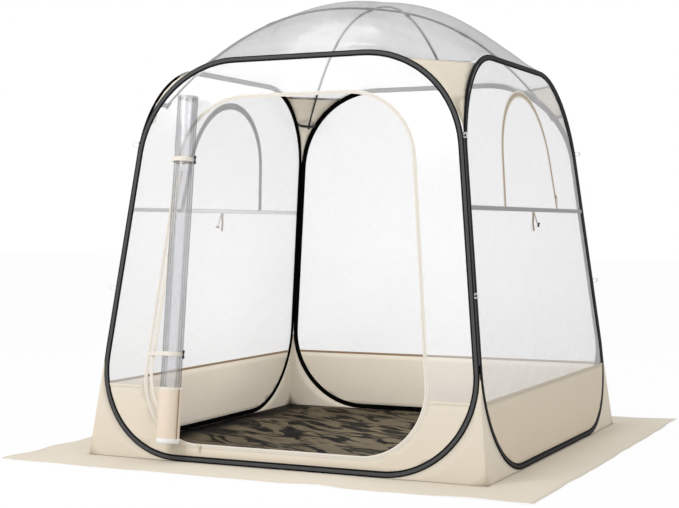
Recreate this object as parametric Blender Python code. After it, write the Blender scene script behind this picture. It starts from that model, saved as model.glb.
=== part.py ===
"""Bubble tent: four sprung steel hoops in fabric sleeves, clear film walls and a domed film roof.

Metres, +Z up. The origin is on the ground under the middle of the tent, and the door looks along -Y.
Each wall is drawn flat in its own leaning frame: local X runs along the wall, local Z runs up it and
local Y is the depth, which is positive into the tent. The pieces of a wall hang from that frame's empty.
"""
import math
from collections import namedtuple

import bmesh
import bpy
from mathutils import Matrix, Vector

# Overall sizes
base_half_width = 1.000
base_half_depth = 1.0475
roof_half_width = 0.784
roof_half_depth = 0.824
wall_height = 1.8835
dome_height = 2.221
skirt_width = 0.292

# Cloths, films and the gap that sewn neighbours keep
seam_gap = 0.0003
film_thickness = 0.0003
fabric_thickness = 0.0005
ground_cloth_thickness = 0.0010
band_height = 0.335

# Hoops: the sleeve is a folded tape, the spring wire lies in its outer edge
sleeve_half_width = 0.014
sleeve_belly_half = 0.0046
sleeve_slot_half = 0.00065
corner_clearance = 0.002
wire_offset = 0.008
wire_radius = 0.0023
wire_play = 0.0008
film_tuck = 0.0035
hoop_bottom_radius = 0.416
hoop_top_radius = 0.4915
arc_steps = 8

# Roof poles and their corner pockets: a strap sags in from the corner and dips to the pole's tip
pole_radius = 0.00425
pole_to_crown = 0.031
pole_power = 2.34
pole_steps = 32
pocket_strap_height = 1.690
pocket_sag = 0.0416
pocket_dip = 0.0158
pocket_strap_width = 0.015
pocket_strap_thickness = 0.0016
cup_radius = 0.0075
cup_length = 0.028
cup_floor = 0.003

# Dome film
gusset_top_height = 1.831
dome_side_power = 2.5
dome_corner_power = 2.0
dome_rings = 8

# Corner bindings with their guy loops
binding_width = 0.008
binding_thickness = 0.0012
binding_low = 0.500
binding_high = 1.495
guy_loop_heights = (0.790, 1.478)
guy_loop_radius = 0.013
guy_loop_wire = 0.0028
guy_loop_steps = 10

# Door opening in the front wall, and its binding with the zip
door_side_margin = 0.2502
door_side_slope = 0.1048
door_bottom = 0.078
door_top = 1.693
door_bottom_radius = 0.300
door_top_radius = 0.340
door_binding_half = 0.009
door_binding_half_thickness = 0.0012

# Rolled door leaf, its ties and their toggles
roll_inset = 0.2138
roll_film_radius = 0.0525
roll_fabric_radius = 0.058
roll_core_radius = 0.022
roll_layer = 0.001
roll_turns = 3
roll_steps = 16
roll_bottom = 0.082
roll_seam = 0.338
roll_top = 1.690
roll_clearance = 0.001
tie_heights = {"lower": 0.490, "upper": 1.390}
tie_width = 0.020
tie_thickness = 0.0012
tie_steps = 16
door_toggle_length = 0.040
door_toggle_radius = 0.0048

# Windows in the side walls: a tape, an arched flap hinged on it, and the zip round the arch
tape_height = 1.168
tape_half = 0.010
tape_thickness = 0.0012
arch_radius = 0.380
arch_top = 1.730
arch_leg_lean = math.radians(10.0)
arch_steps = 14
zip_half_band = 0.017
zip_band_thickness = 0.0025
flap_hinge_play = 0.0008
strap_half_width = 0.009
strap_length = 0.100
strap_thickness = 0.0012
strap_lean = math.radians(25.0)
strand_half_width = 0.003
strand_length = 0.078
strand_thickness = 0.0018
strand_leans = {"right": math.radians(35.0), "left": math.radians(15.0)}
strand_offset = 0.004
window_toggle_length = 0.026
window_toggle_radius = 0.0042

# Zip sliders
slider_half_width = 0.0055
slider_half_length = 0.009
slider_thickness = 0.0050
slider_bevel = 0.0012
pull_half_width = 0.0035
pull_length = 0.026
pull_thickness = 0.0012
door_slider_place = -0.395
window_slider_rise = 0.060

# Worked out from the sizes above
door_half_at_ground = base_half_width - door_side_margin
roll_place = roll_inset - door_half_at_ground
hoop_inset = sleeve_half_width + corner_clearance
hoop_foot = ground_cloth_thickness + 2 * seam_gap + sleeve_half_width
bore_radius = wire_radius + wire_play
half_film = film_thickness / 2
wall_face = half_film + seam_gap
panel_edge = sleeve_half_width + seam_gap

# Points of the sleeve's outer skin, as shares of its half width and of its belly
sleeve_skin_shares = ((-1.0, 0.26), (0.21, 0.85), (0.57, 1.0), (0.89, 0.70), (1.0, 0.33))
bore_angles = (140.0, 70.0, 0.0, -70.0, -140.0)
wire_sides = 6
cup_sides = 12
toggle_sides = 10
# A barrel toggle's waist, as a share of its radius, and where its shoulders sit, of its half length
toggle_waist_share = 0.6
toggle_shoulder_share = 0.6
# How much of the hoops' last corner step the lower gusset's narrow tip leaves free
lower_gusset_stop_share = 0.45

Wall = namedtuple("Wall", "name turn half_base half_roof reach_base reach_roof")
walls = (
    Wall("front", 0.0, base_half_width, roof_half_width, base_half_depth, roof_half_depth),
    Wall("right", math.pi / 2, base_half_depth, roof_half_depth, base_half_width, roof_half_width),
    Wall("back", math.pi, base_half_width, roof_half_width, base_half_depth, roof_half_depth),
    Wall("left", 3 * math.pi / 2, base_half_depth, roof_half_depth, base_half_width, roof_half_width),
)
corner_names = ("front_right", "back_right", "back_left", "front_left")
corner_signs = ((1, -1), (1, 1), (-1, 1), (-1, -1))


def clear_objects():
    for thing in list(bpy.data.objects):
        bpy.data.objects.remove(thing, do_unlink=True)


def look(name, colour, roughness, metallic=0.0, alpha=1.0):
    material = bpy.data.materials.new(name)
    material.use_nodes = True
    shader = material.node_tree.nodes["Principled BSDF"]
    shader.inputs["Base Color"].default_value = (*colour, 1.0)
    shader.inputs["Roughness"].default_value = roughness
    shader.inputs["Metallic"].default_value = metallic
    shader.inputs["Alpha"].default_value = alpha
    return material


def add_piece(name, bm, material, parent=None):
    bmesh.ops.recalc_face_normals(bm, faces=bm.faces)
    if bm.calc_volume(signed=True) < 0.0:
        bmesh.ops.reverse_faces(bm, faces=bm.faces)
    mesh = bpy.data.meshes.new(name)
    bm.to_mesh(mesh)
    bm.free()
    mesh.materials.append(material)
    piece = bpy.data.objects.new(name, mesh)
    bpy.context.collection.objects.link(piece)
    piece.parent = parent
    return piece


def add_frame(name, matrix):
    frame = bpy.data.objects.new(name, None)
    bpy.context.collection.objects.link(frame)
    frame.matrix_world = matrix
    return frame


def put_origin(piece, point):
    """Moves a piece's origin to a point of its parent's frame, and leaves its shape where it is."""
    piece.data.transform(Matrix.Translation(-Vector(point)))
    piece.location = point


def unite(piece, addition):
    """Joins an addition to a piece; the addition stays as a hidden guide."""
    addition.hide_render = True
    addition.display_type = "WIRE"
    addition.parent = piece.parent
    join = piece.modifiers.new("join " + addition.name, "BOOLEAN")
    join.operation = "UNION"
    join.solver = "EXACT"
    join.object = addition


def thicken(piece, thickness):
    wall = piece.modifiers.new("thickness", "SOLIDIFY")
    wall.thickness = thickness
    wall.offset = 0.0
    wall.use_even_offset = True


# Frames of the walls, the ground and the corners


def wall_lean(wall):
    return math.atan2(wall.reach_base - wall.reach_roof, wall_height)


def wall_slope(wall):
    """How much the wall's side edge comes in for each metre up the wall."""
    return (wall.half_base - wall.half_roof) / up_wall(wall, wall_height)


def up_wall(wall, height):
    """The distance up the leaning wall at a height above the ground."""
    return height / math.cos(wall_lean(wall))


def wall_matrix(wall):
    turn = Matrix.Rotation(wall.turn, 4, "Z")
    out = Matrix.Translation((0.0, -wall.reach_base, 0.0))
    lean = Matrix.Rotation(-wall_lean(wall), 4, "X")
    return turn @ out @ lean


def corner_matrix(signs):
    """Z runs up the corner line and X points straight out of the corner."""
    foot = Vector((signs[0] * base_half_width, signs[1] * base_half_depth, 0.0))
    head = Vector((signs[0] * roof_half_width, signs[1] * roof_half_depth, wall_height))
    up = (head - foot).normalized()
    side_out = Vector((0.0, signs[1], 0.0)).cross(up).cross(up)
    end_out = Vector((signs[0], 0.0, 0.0)).cross(up).cross(up)
    out = -(side_out.normalized() + end_out.normalized()).normalized()
    across = up.cross(out)
    matrix = Matrix((out, across, up)).transposed().to_4x4()
    matrix.translation = foot
    return matrix


# Outlines in a wall's plane


def rounded_trapezoid(half_at_zero, slope, low, high, low_radius, high_radius, outward, steps):
    """Points of a trapezoid with round corners, all moved outward by one distance."""
    lean = math.atan(slope)
    points = []
    corners = ((low + low_radius, low_radius, -math.pi / 2, lean),
               (high - high_radius, high_radius, lean, math.pi / 2))
    for level, radius, start, end in corners:
        middle = half_at_zero - slope * level - radius / math.cos(lean)
        for step in range(steps + 1):
            angle = start + (end - start) * step / steps
            reach = radius + outward
            points.append((middle + reach * math.cos(angle), level + reach * math.sin(angle)))
    return points + [(-u, w) for u, w in reversed(points)]


def hoop_sizes(wall):
    half = wall.half_base - hoop_inset / math.cos(math.atan(wall_slope(wall)))
    high = up_wall(wall, wall_height) - hoop_inset
    return half, wall_slope(wall), hoop_foot, high, hoop_bottom_radius, hoop_top_radius


def hoop_loop(wall, outward):
    return rounded_trapezoid(*hoop_sizes(wall), outward, arc_steps)


def hoop_corner_point(wall, end, top, step, outward):
    """A point on a hoop's upper or lower corner, at a step along its straight-sided arc. end is 1 or -1."""
    half, slope, low, high, low_radius, high_radius = hoop_sizes(wall)
    lean = math.atan(slope)
    radius = high_radius if top else low_radius
    level = high - radius if top else low + radius
    middle = half - slope * level - radius / math.cos(lean)
    start, finish = (lean, math.pi / 2) if top else (-math.pi / 2, lean)
    whole = min(math.floor(step), arc_steps - 1)
    corners = []
    for index in (whole, whole + 1):
        angle = start + (finish - start) * index / arc_steps
        reach = radius + outward
        corners.append(Vector((middle + reach * math.cos(angle), level + reach * math.sin(angle))))
    point = corners[0].lerp(corners[1], step - whole)
    return end * point.x, point.y


def hoop_top_step(height):
    """The step on the hoops' upper corners at which a panel's edge passes a height above the ground."""
    wall = walls[0]
    lean = math.atan(wall_slope(wall))
    level = hoop_sizes(wall)[3] - hoop_top_radius
    angle = math.asin((up_wall(wall, height) - level) / (hoop_top_radius + panel_edge))
    return (angle - lean) / (math.pi / 2 - lean) * arc_steps


def hoop_side(wall, level, outward):
    """Half the width of a hoop's straight part at a level up the wall."""
    half, slope = hoop_sizes(wall)[:2]
    return half - slope * level + outward / math.cos(math.atan(slope))


def door_loop(outward):
    front = walls[0]
    return rounded_trapezoid(door_half_at_ground, door_side_slope, up_wall(front, door_bottom),
                             up_wall(front, door_top), door_bottom_radius, door_top_radius, outward,
                             arc_steps)


def door_jamb(height):
    """Where the door binding's middle line runs on the left, at a height above the ground."""
    level = up_wall(walls[0], height)
    return -(door_half_at_ground - door_side_slope * level), level


def cut_loop(loop, level, keep_above):
    """The part of a round outline above or below a level, starting and ending on that level."""
    kept = []
    ring = list(zip(loop, loop[1:] + loop[:1]))
    start = None
    for index, (here, there) in enumerate(ring):
        if (here[1] > level) != (there[1] > level) and (there[1] > level) == keep_above:
            start = index
    for here, there in ring[start:] + ring[:start]:
        inside = (here[1] > level) == keep_above
        if inside:
            kept.append(here)
        if (here[1] > level) != (there[1] > level):
            share = (level - here[1]) / (there[1] - here[1])
            kept.append((here[0] + (there[0] - here[0]) * share, level))
    return kept


def arch_line(wall, outward, foot):
    """The window's arch from the foot of its right leg over the crown to the foot of its left leg."""
    level = up_wall(wall, arch_top) - arch_radius
    radius = arch_radius + outward
    points = []
    for step in range(arch_steps + 1):
        angle = arch_leg_lean + (math.pi - 2 * arch_leg_lean) * step / arch_steps
        points.append((radius * math.cos(angle), level + radius * math.sin(angle)))
    drop = points[0][1] - foot
    spread = points[0][0] + drop * math.tan(arch_leg_lean)
    return [(spread, foot)] + points + [(-spread, foot)]


# Solids


def plate(outlines, near, far):
    """A flat plate with holes, between two depths; the first outline is its edge."""
    bm = bmesh.new()
    for outline in outlines:
        ring = [bm.verts.new((u, near, w)) for u, w in outline]
        for here, there in zip(ring, ring[1:] + ring[:1]):
            bm.edges.new((here, there))
    edge = bm.edges[:]
    bmesh.ops.triangle_fill(bm, use_beauty=True, edges=edge)
    pushed = bmesh.ops.extrude_face_region(bm, geom=bm.faces[:], use_keep_orig=True)
    moved = [item for item in pushed["geom"] if isinstance(item, bmesh.types.BMVert)]
    bmesh.ops.translate(bm, vec=(0.0, far - near, 0.0), verts=moved)
    return bm


def swept_ring(loop_at, section):
    """Carries a closed section of (outward, depth) points round the closed loop loop_at(outward)."""
    bm = bmesh.new()
    rows = [[bm.verts.new((u, depth, w)) for u, w in loop_at(outward)] for outward, depth in section]
    for row, next_row in zip(rows, rows[1:] + rows[:1]):
        for index, vert in enumerate(row):
            following = (index + 1) % len(row)
            bm.faces.new((vert, row[following], next_row[following], next_row[index]))
    return bm


def sheet_grid(rows):
    """An open sheet through rows of points."""
    bm = bmesh.new()
    grid = [[bm.verts.new(point) for point in row] for row in rows]
    for row, next_row in zip(grid, grid[1:]):
        for index in range(len(row) - 1):
            bm.faces.new((row[index], row[index + 1], next_row[index + 1], next_row[index]))
    return bm


def turned(profile, steps, matrix):
    """A solid of revolution about Z from (radius, height) points that start and end on the axis."""
    bm = bmesh.new()
    rings = []
    for radius, height in profile[1:-1]:
        ring = []
        for step in range(steps):
            angle = 2 * math.pi * step / steps
            ring.append(bm.verts.new((radius * math.cos(angle), radius * math.sin(angle), height)))
        rings.append(ring)
    for ring, next_ring in zip(rings, rings[1:]):
        for index in range(steps):
            following = (index + 1) % steps
            bm.faces.new((ring[index], ring[following], next_ring[following], next_ring[index]))
    for ring, height in ((rings[0], profile[0][1]), (rings[-1], profile[-1][1])):
        pole = bm.verts.new((0.0, 0.0, height))
        for index in range(steps):
            bm.faces.new((ring[index], ring[(index + 1) % steps], pole))
    bm.transform(matrix)
    return bm


def ribbon(path, ups, width, thickness):
    """A strap along a path; ups holds the direction of its width at each point."""
    bm = bmesh.new()
    rings = []
    for index, (point, up) in enumerate(zip(path, ups)):
        before = path[max(index - 1, 0)]
        after = path[min(index + 1, len(path) - 1)]
        along = (after - before).normalized()
        level = (up - along * up.dot(along)).normalized()
        face = along.cross(level)
        corners = ((1, 1), (1, -1), (-1, -1), (-1, 1))
        rings.append([bm.verts.new(point + level * width / 2 * a + face * thickness / 2 * b)
                      for a, b in corners])
    for ring, next_ring in zip(rings, rings[1:]):
        for index in range(4):
            following = (index + 1) % 4
            bm.faces.new((ring[index], ring[following], next_ring[following], next_ring[index]))
    bm.faces.new(rings[0])
    bm.faces.new(rings[-1])
    return bm


def bar(half_x, half_y, half_z, centre):
    bm = bmesh.new()
    bmesh.ops.create_cube(bm, size=2.0)
    bmesh.ops.scale(bm, vec=(half_x, half_y, half_z), verts=bm.verts)
    bmesh.ops.translate(bm, vec=centre, verts=bm.verts)
    return bm


# Looks

sleeve_look = look("sleeve", (0.035, 0.035, 0.037), 0.75)
wire_look = look("spring steel", (0.30, 0.31, 0.32), 0.35, 1.0)
film_look = look("clear film", (0.90, 0.91, 0.92), 0.06, 0.0, 0.25)
fabric_look = look("beige fabric", (0.66, 0.60, 0.50), 0.80)
cream_look = look("cream binding", (0.80, 0.75, 0.66), 0.75)
leaf_look = look("leaf fabric", (0.76, 0.66, 0.54), 0.80)
tape_look = look("grey tape", (0.62, 0.62, 0.62), 0.60)
floor_look = look("ground sheet", (0.030, 0.027, 0.022), 0.35)
pole_look = look("pole", (0.06, 0.06, 0.065), 0.40)
webbing_look = look("webbing", (0.02, 0.02, 0.02), 0.80)
loop_look = look("guy loop", (0.72, 0.72, 0.70), 0.70)
black_look = look("black plastic", (0.01, 0.01, 0.01), 0.35)
slider_look = look("slider lacquer", (0.62, 0.53, 0.40), 0.35)


# Hoops, walls and bands


def sleeve_section():
    skin = [(across * sleeve_half_width, belly * sleeve_belly_half)
            for across, belly in sleeve_skin_shares]
    far_side = [(across, -depth) for across, depth in reversed(skin)]
    bore = [(wire_offset - bore_radius * math.cos(math.pi - math.radians(angle)),
             bore_radius * math.sin(math.radians(angle))) for angle in bore_angles]
    mouth = -sleeve_half_width
    throat = wire_offset - bore_radius
    slot_far = [(mouth, -sleeve_slot_half), (throat, -sleeve_slot_half)]
    slot_near = [(throat, sleeve_slot_half), (mouth, sleeve_slot_half)]
    return skin + far_side + slot_far + bore[::-1] + slot_near


def wire_section():
    points = []
    for step in range(wire_sides):
        angle = 2 * math.pi * step / wire_sides
        points.append((wire_offset + wire_radius * math.cos(angle), wire_radius * math.sin(angle)))
    return points


def build_hoops(wall, frame):
    def loop_at(outward):
        return hoop_loop(wall, outward)

    add_piece("hoop_sleeve_" + wall.name, swept_ring(loop_at, sleeve_section()), sleeve_look, frame)
    add_piece("hoop_wire_" + wall.name, swept_ring(loop_at, wire_section()), wire_look, frame)


def band_level(wall):
    return up_wall(wall, band_height)


def build_wall_panels(wall, frame):
    """The clear film above the band line and the fabric band below it, edge to edge."""
    loop = hoop_loop(wall, film_tuck)
    upper = cut_loop(loop, band_level(wall) + seam_gap / 2, True)
    lower = cut_loop(loop, band_level(wall) - seam_gap / 2, False)
    film_outlines = [upper]
    if wall.name == "front":
        door = door_loop(door_binding_half + seam_gap)
        door_above = cut_loop(door, band_level(wall) + seam_gap / 2, True)
        door_below = cut_loop(door, band_level(wall) - seam_gap / 2, False)
        film_outlines = [upper + door_above[::-1]]
        lower = lower + door_below[::-1]
    elif wall.name in ("right", "left"):
        film_outlines.append(arch_line(wall, seam_gap, window_sill(wall)))
    half_fabric = fabric_thickness / 2
    add_piece("wall_film_" + wall.name, plate(film_outlines, -half_film, half_film), film_look, frame)
    add_piece("lower_band_" + wall.name, plate([lower], -half_fabric, half_fabric), fabric_look, frame)


# Gussets, the skirt and the floor


def corner_walls(index):
    return walls[index], walls[(index + 1) % 4]


def on_wall(wall, point, depth=0.0):
    return wall_matrix(wall) @ Vector((point[0], depth, point[1]))


def corner_line_point(wall, level):
    return wall.half_base - wall_slope(wall) * level, level


def build_gussets(index):
    """The fabric that fills a corner where its two hoops curve apart, at the top and at the bottom."""
    first, second = corner_walls(index)
    name = corner_names[index]
    top_step = hoop_top_step(gusset_top_height)
    rows = []
    for step in [*range(1, math.ceil(top_step)), top_step]:
        rows.append([on_wall(first, hoop_corner_point(first, 1, True, step, panel_edge)),
                     on_wall(second, hoop_corner_point(second, -1, True, step, panel_edge))])
    gusset = add_piece("upper_gusset_" + name, sheet_grid(rows), fabric_look)
    thicken(gusset, fabric_thickness)
    rows = []
    for step in [*range(arc_steps), arc_steps - lower_gusset_stop_share]:
        near = hoop_corner_point(first, 1, False, step, panel_edge)
        far = hoop_corner_point(second, -1, False, step, panel_edge)
        rows.append([on_wall(first, near), on_wall(first, corner_line_point(first, near[1])),
                     on_wall(second, far)])
    gusset = add_piece("lower_gusset_" + name, sheet_grid(rows), fabric_look)
    thicken(gusset, fabric_thickness)


def rectangle(half_width, half_depth):
    return [(-half_width, -half_depth), (half_width, -half_depth),
            (half_width, half_depth), (-half_width, half_depth)]


def build_ground(frame):
    """The floor sheet, and the flap that lies on the ground all round it."""
    floor = rectangle(base_half_width, base_half_depth)
    add_piece("floor_sheet", plate([floor], 0.0, -ground_cloth_thickness), floor_look, frame)
    inner = rectangle(base_half_width + seam_gap, base_half_depth + seam_gap)
    outer = rectangle(base_half_width + skirt_width, base_half_depth + skirt_width)
    add_piece("ground_skirt", plate([outer, inner], 0.0, -ground_cloth_thickness), fabric_look, frame)


# Roof


def pocket_ends(index):
    """Where a pocket's strap is sewn to the corner's two hoops."""
    first, second = corner_walls(index)
    step = hoop_top_step(pocket_strap_height)
    depth = sleeve_belly_half + 2 * seam_gap
    start = on_wall(first, hoop_corner_point(first, 1, True, step, wire_offset), depth)
    end = on_wall(second, hoop_corner_point(second, -1, True, step, wire_offset), depth)
    return start, end


def corner_direction(index):
    """The level direction from the middle of the tent to a corner's pocket."""
    start, end = pocket_ends(index)
    return Vector((start.x + end.x, start.y + end.y, 0.0)).normalized()


def pole_tip(index):
    start, end = pocket_ends(index)
    return (start + end) / 2 - corner_direction(index) * pocket_sag - Vector((0.0, 0.0, pocket_dip))


def pole_point(index, share, lift):
    """A point on a pole, from share 0 under the crown to share 1 at its tip in a corner."""
    tip = pole_tip(index)
    apex = dome_height - pole_to_crown
    height = apex - (apex - tip.z) * share ** pole_power + lift * (1 - share ** 2)
    return Vector((tip.x * share, tip.y * share, height))


def build_pole(name, index, lift):
    curve = bpy.data.curves.new(name, "CURVE")
    curve.dimensions = "3D"
    curve.bevel_depth = pole_radius
    curve.bevel_resolution = 2
    curve.use_fill_caps = True
    spline = curve.splines.new("POLY")
    spline.points.add(pole_steps)
    for step, point in enumerate(spline.points):
        share = 2 * step / pole_steps - 1
        corner = index if share > 0 else index + 2
        point.co = (*pole_point(corner, abs(share), lift), 1.0)
    curve.materials.append(pole_look)
    pole = bpy.data.objects.new(name, curve)
    bpy.context.collection.objects.link(pole)


def build_pocket(index, lift):
    """The black strap across a top corner, with the cup that takes the pole's end."""
    tip = pole_point(index, 1.0, lift)
    inner = pole_point(index, 1 - 2 / pole_steps, lift)
    axis = (inner - tip).normalized()
    bore = pole_radius + seam_gap
    floor_level = -seam_gap - cup_floor
    profile = [(0.0, floor_level), (cup_radius, floor_level), (cup_radius, cup_length),
               (bore, cup_length), (bore, -seam_gap), (0.0, -seam_gap)]
    turn = Vector((0.0, 0.0, 1.0)).rotation_difference(axis).to_matrix().to_4x4()
    cup = turned(profile, cup_sides, Matrix.Translation(tip) @ turn)
    cup_piece = add_piece("pole_cup_guide_" + corner_names[index], cup, webbing_look)
    start, end = pocket_ends(index)
    outward = corner_direction(index)
    away = (outward - axis * outward.dot(axis)).normalized()
    middle = tip + axis * pocket_strap_width / 2 + away * cup_radius
    control = middle * 2 - (start + end) / 2
    rest_up = Vector((0.0, 0.0, 1.0))
    path = []
    ups = []
    for step in range(arc_steps + 1):
        share = step / arc_steps
        path.append(start * (1 - share) ** 2 + control * 2 * share * (1 - share) + end * share ** 2)
        ups.append(rest_up.lerp(axis, math.sin(math.pi * share)))
    strap = ribbon(path, ups, pocket_strap_width, pocket_strap_thickness)
    unite(add_piece("pole_pocket_" + corner_names[index], strap, webbing_look), cup_piece)


def dome_rim():
    """The line where the dome film is sewn to the hoop tops and to the gussets' upper edges."""
    rim = []
    outward = sleeve_half_width + 2 * seam_gap
    for wall in walls:
        top_step = hoop_top_step(gusset_top_height)
        steps = [top_step, *range(math.ceil(top_step), arc_steps + 1)]
        right = [hoop_corner_point(wall, 1, True, step, outward) for step in steps]
        left = [(-u, w) for u, w in right]
        half_top, level = right[-1]
        middle = [(half_top * (2 * step / arc_steps - 1), level) for step in range(1, arc_steps)]
        rim.extend(on_wall(wall, point) for point in left + middle + right[::-1])
        following = corner_walls(walls.index(wall))[1]
        next_start = on_wall(following, hoop_corner_point(following, -1, True, top_step, outward))
        rim.append((rim[-1] + next_start) / 2)
    return rim


def dome_power(point):
    """The roof is fuller over the middle of a wall than along the poles."""
    bearing = math.atan2(abs(point.y), abs(point.x))
    pocket = corner_direction(1)
    corner = math.atan2(pocket.y, pocket.x)
    span = corner if bearing < corner else math.pi / 2 - corner
    share = (1 + math.cos(math.pi * min(abs(bearing - corner) / span, 1.0))) / 2
    return dome_side_power + (dome_corner_power - dome_side_power) * share


def build_dome():
    bm = bmesh.new()
    crown = bm.verts.new((0.0, 0.0, dome_height))
    spokes = []
    for rim_point in dome_rim():
        spoke = []
        for ring in range(1, dome_rings + 1):
            share = ring / dome_rings
            rise = (dome_height - rim_point.z) * (1 - share ** dome_power(rim_point))
            spoke.append(bm.verts.new((rim_point.x * share, rim_point.y * share, rim_point.z + rise)))
        spokes.append(spoke)
    for spoke, next_spoke in zip(spokes, spokes[1:] + spokes[:1]):
        bm.faces.new((crown, spoke[0], next_spoke[0]))
        for ring in range(dome_rings - 1):
            bm.faces.new((spoke[ring], spoke[ring + 1], next_spoke[ring + 1], next_spoke[ring]))
    dome = add_piece("roof_dome", bm, film_look)
    thicken(dome, film_thickness)


# Corner bindings


def build_corner_binding(index):
    """The binding tape that joins two hoops along a corner, with two loops for guy lines."""
    signs = corner_signs[index]
    matrix = corner_matrix(signs)
    frame = add_frame("corner_frame_" + corner_names[index], matrix)
    stretch = 1 / matrix.col[2].z
    edge_half = sleeve_skin_shares[-1][1] * sleeve_belly_half
    inner = -(corner_clearance - edge_half) / math.sqrt(2) + seam_gap
    outer = inner + binding_thickness
    centre = outer + guy_loop_radius - guy_loop_wire
    reach = math.acos((centre - outer) / guy_loop_radius)
    heights = (binding_high, *sorted(guy_loop_heights, reverse=True), binding_low)
    outline = [(inner, height * stretch) for height in heights] + [(outer, binding_low * stretch)]
    holes = []
    for height in guy_loop_heights:
        level = height * stretch
        for step in range(guy_loop_steps + 1):
            angle = -math.pi + reach + 2 * (math.pi - reach) * step / guy_loop_steps
            outline.append((centre + guy_loop_radius * math.cos(angle),
                            level + guy_loop_radius * math.sin(angle)))
        eye = guy_loop_radius - guy_loop_wire
        holes.append([(centre + eye * math.cos(2 * math.pi * step / guy_loop_steps),
                       level + eye * math.sin(2 * math.pi * step / guy_loop_steps))
                      for step in range(guy_loop_steps)])
    outline.append((outer, binding_high * stretch))
    half = binding_width / 2
    solid = plate([outline] + holes, -half, half)
    add_piece("corner_binding_" + corner_names[index], solid, loop_look, frame)


# Zip sliders and toggles


def build_slider(name, frame, place, back, half_along, half_up, lean):
    """A zip slider with its pull; place is (along, up) and back is the depth of what it runs on."""
    face = back - seam_gap
    middle = face - slider_thickness / 2
    body = add_piece(name, bar(half_along, slider_thickness / 2, half_up, (0.0, middle, 0.0)), slider_look,
                     frame)
    edge = body.modifiers.new("rounded edges", "BEVEL")
    edge.width = slider_bevel
    edge.segments = 2
    tail = -half_up - pull_length
    outline = [(-pull_half_width, tail), (pull_half_width, tail), (pull_half_width, 0.0),
               (-pull_half_width, 0.0)]
    pull_near = face - slider_thickness - pull_thickness / 2
    pull = add_piece(name + "_pull_guide", plate([outline], pull_near, pull_near + pull_thickness),
                     slider_look)
    unite(body, pull)
    for piece in (body, pull):
        piece.location = (place[0], 0.0, place[1])
        piece.rotation_euler = (0.0, lean, 0.0)
    return body


def toggle_profile(length, radius):
    """A barrel toggle with a waist where its cord goes round."""
    half = length / 2
    waist = radius * toggle_waist_share
    shoulder = half * toggle_shoulder_share
    return [(0.0, -half), (waist, -half), (radius, -shoulder), (waist, 0.0), (radius, shoulder),
            (waist, half), (0.0, half)]


# Door


def build_door(frame):
    front = walls[0]
    half = door_binding_half
    depth = door_binding_half_thickness
    section = [(-half, -depth), (half, -depth), (half, depth), (-half, depth)]
    add_piece("door_binding", swept_ring(door_loop, section), cream_look, frame)
    build_slider("door_zip_slider", frame, (door_slider_place, up_wall(front, door_bottom)), -depth,
                 slider_half_length, slider_half_width, 0.0)


def spiral_outline(radius):
    """The rolled leaf's cross-section: one sheet wound from the core out to the radius."""
    outer = []
    inner = []
    count = roll_turns * roll_steps
    for step in range(count + 1):
        share = step / count
        angle = 2 * math.pi * roll_turns * share
        reach = roll_core_radius + (radius - roll_core_radius) * share
        outer.append((reach * math.cos(angle), reach * math.sin(angle)))
        inside = reach - roll_layer
        inner.append((inside * math.cos(angle), inside * math.sin(angle)))
    return outer + inner[::-1]


def upright(bm, centre, level):
    """Stands a plate's outline upright: its outline lies across the wall and it runs up the wall."""
    stand = Matrix(((1.0, 0.0, 0.0), (0.0, 0.0, 1.0), (0.0, 1.0, 0.0))).to_4x4()
    bm.transform(Matrix.Translation((centre[0], centre[1], level)) @ stand)
    return bm


def belt_outline(radius, anchor):
    """A strap's path from the anchor round a roll and back: a circle with two lines to one point."""
    reach = math.hypot(*anchor)
    bearing = math.atan2(anchor[1], anchor[0])
    half_angle = math.acos(radius / reach)
    points = [anchor]
    span = 2 * math.pi - 2 * half_angle
    vertex_radius = radius / math.cos(span / tie_steps / 2)
    for step in range(tie_steps + 1):
        angle = bearing + half_angle + span * step / tie_steps
        points.append((vertex_radius * math.cos(angle), vertex_radius * math.sin(angle)))
    return points


def build_door_roll(frame):
    """The door leaf, rolled up beside the left jamb: clear film above, fabric below, two ties."""
    front = walls[0]
    out = -(roll_fabric_radius + door_binding_half_thickness + roll_clearance)
    centre = (roll_place, out)
    hinge_depth = -(door_binding_half_thickness + seam_gap)
    hinge_place, hinge_level = door_jamb(tie_heights["lower"])
    hinge = (hinge_place, hinge_depth, hinge_level)
    parts = (("door_roll_film", roll_film_radius, roll_seam, roll_top, film_look),
             ("door_roll_fabric", roll_fabric_radius, roll_bottom, roll_seam - seam_gap, leaf_look))
    for name, radius, low, high, material in parts:
        length = up_wall(front, high) - up_wall(front, low)
        solid = upright(plate([spiral_outline(radius)], 0.0, length), centre, up_wall(front, low))
        put_origin(add_piece(name, solid, material, frame), hinge)
    inside = roll_film_radius + seam_gap
    for level_name, height in tie_heights.items():
        jamb, level = door_jamb(height)
        tip = Vector((jamb - centre[0], hinge_depth - seam_gap - centre[1]))
        spread = (inside + tie_thickness) / inside
        outer = belt_outline(inside + tie_thickness, tuple(tip))
        inner = belt_outline(inside, tuple(tip / spread))
        solid = upright(plate([outer, inner], 0.0, tie_width), centre, level - tie_width / 2)
        put_origin(add_piece("door_tie_" + level_name, solid, cream_look, frame), hinge)
        place = (centre[0] + inside + tie_thickness + seam_gap + door_toggle_radius, centre[1], level)
        toggle = turned(toggle_profile(door_toggle_length, door_toggle_radius), toggle_sides,
                        Matrix.Translation(place))
        put_origin(add_piece("door_toggle_" + level_name, toggle, black_look, frame), hinge)


# Windows


def window_sill(wall):
    return up_wall(wall, tape_height) + tape_half


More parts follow.
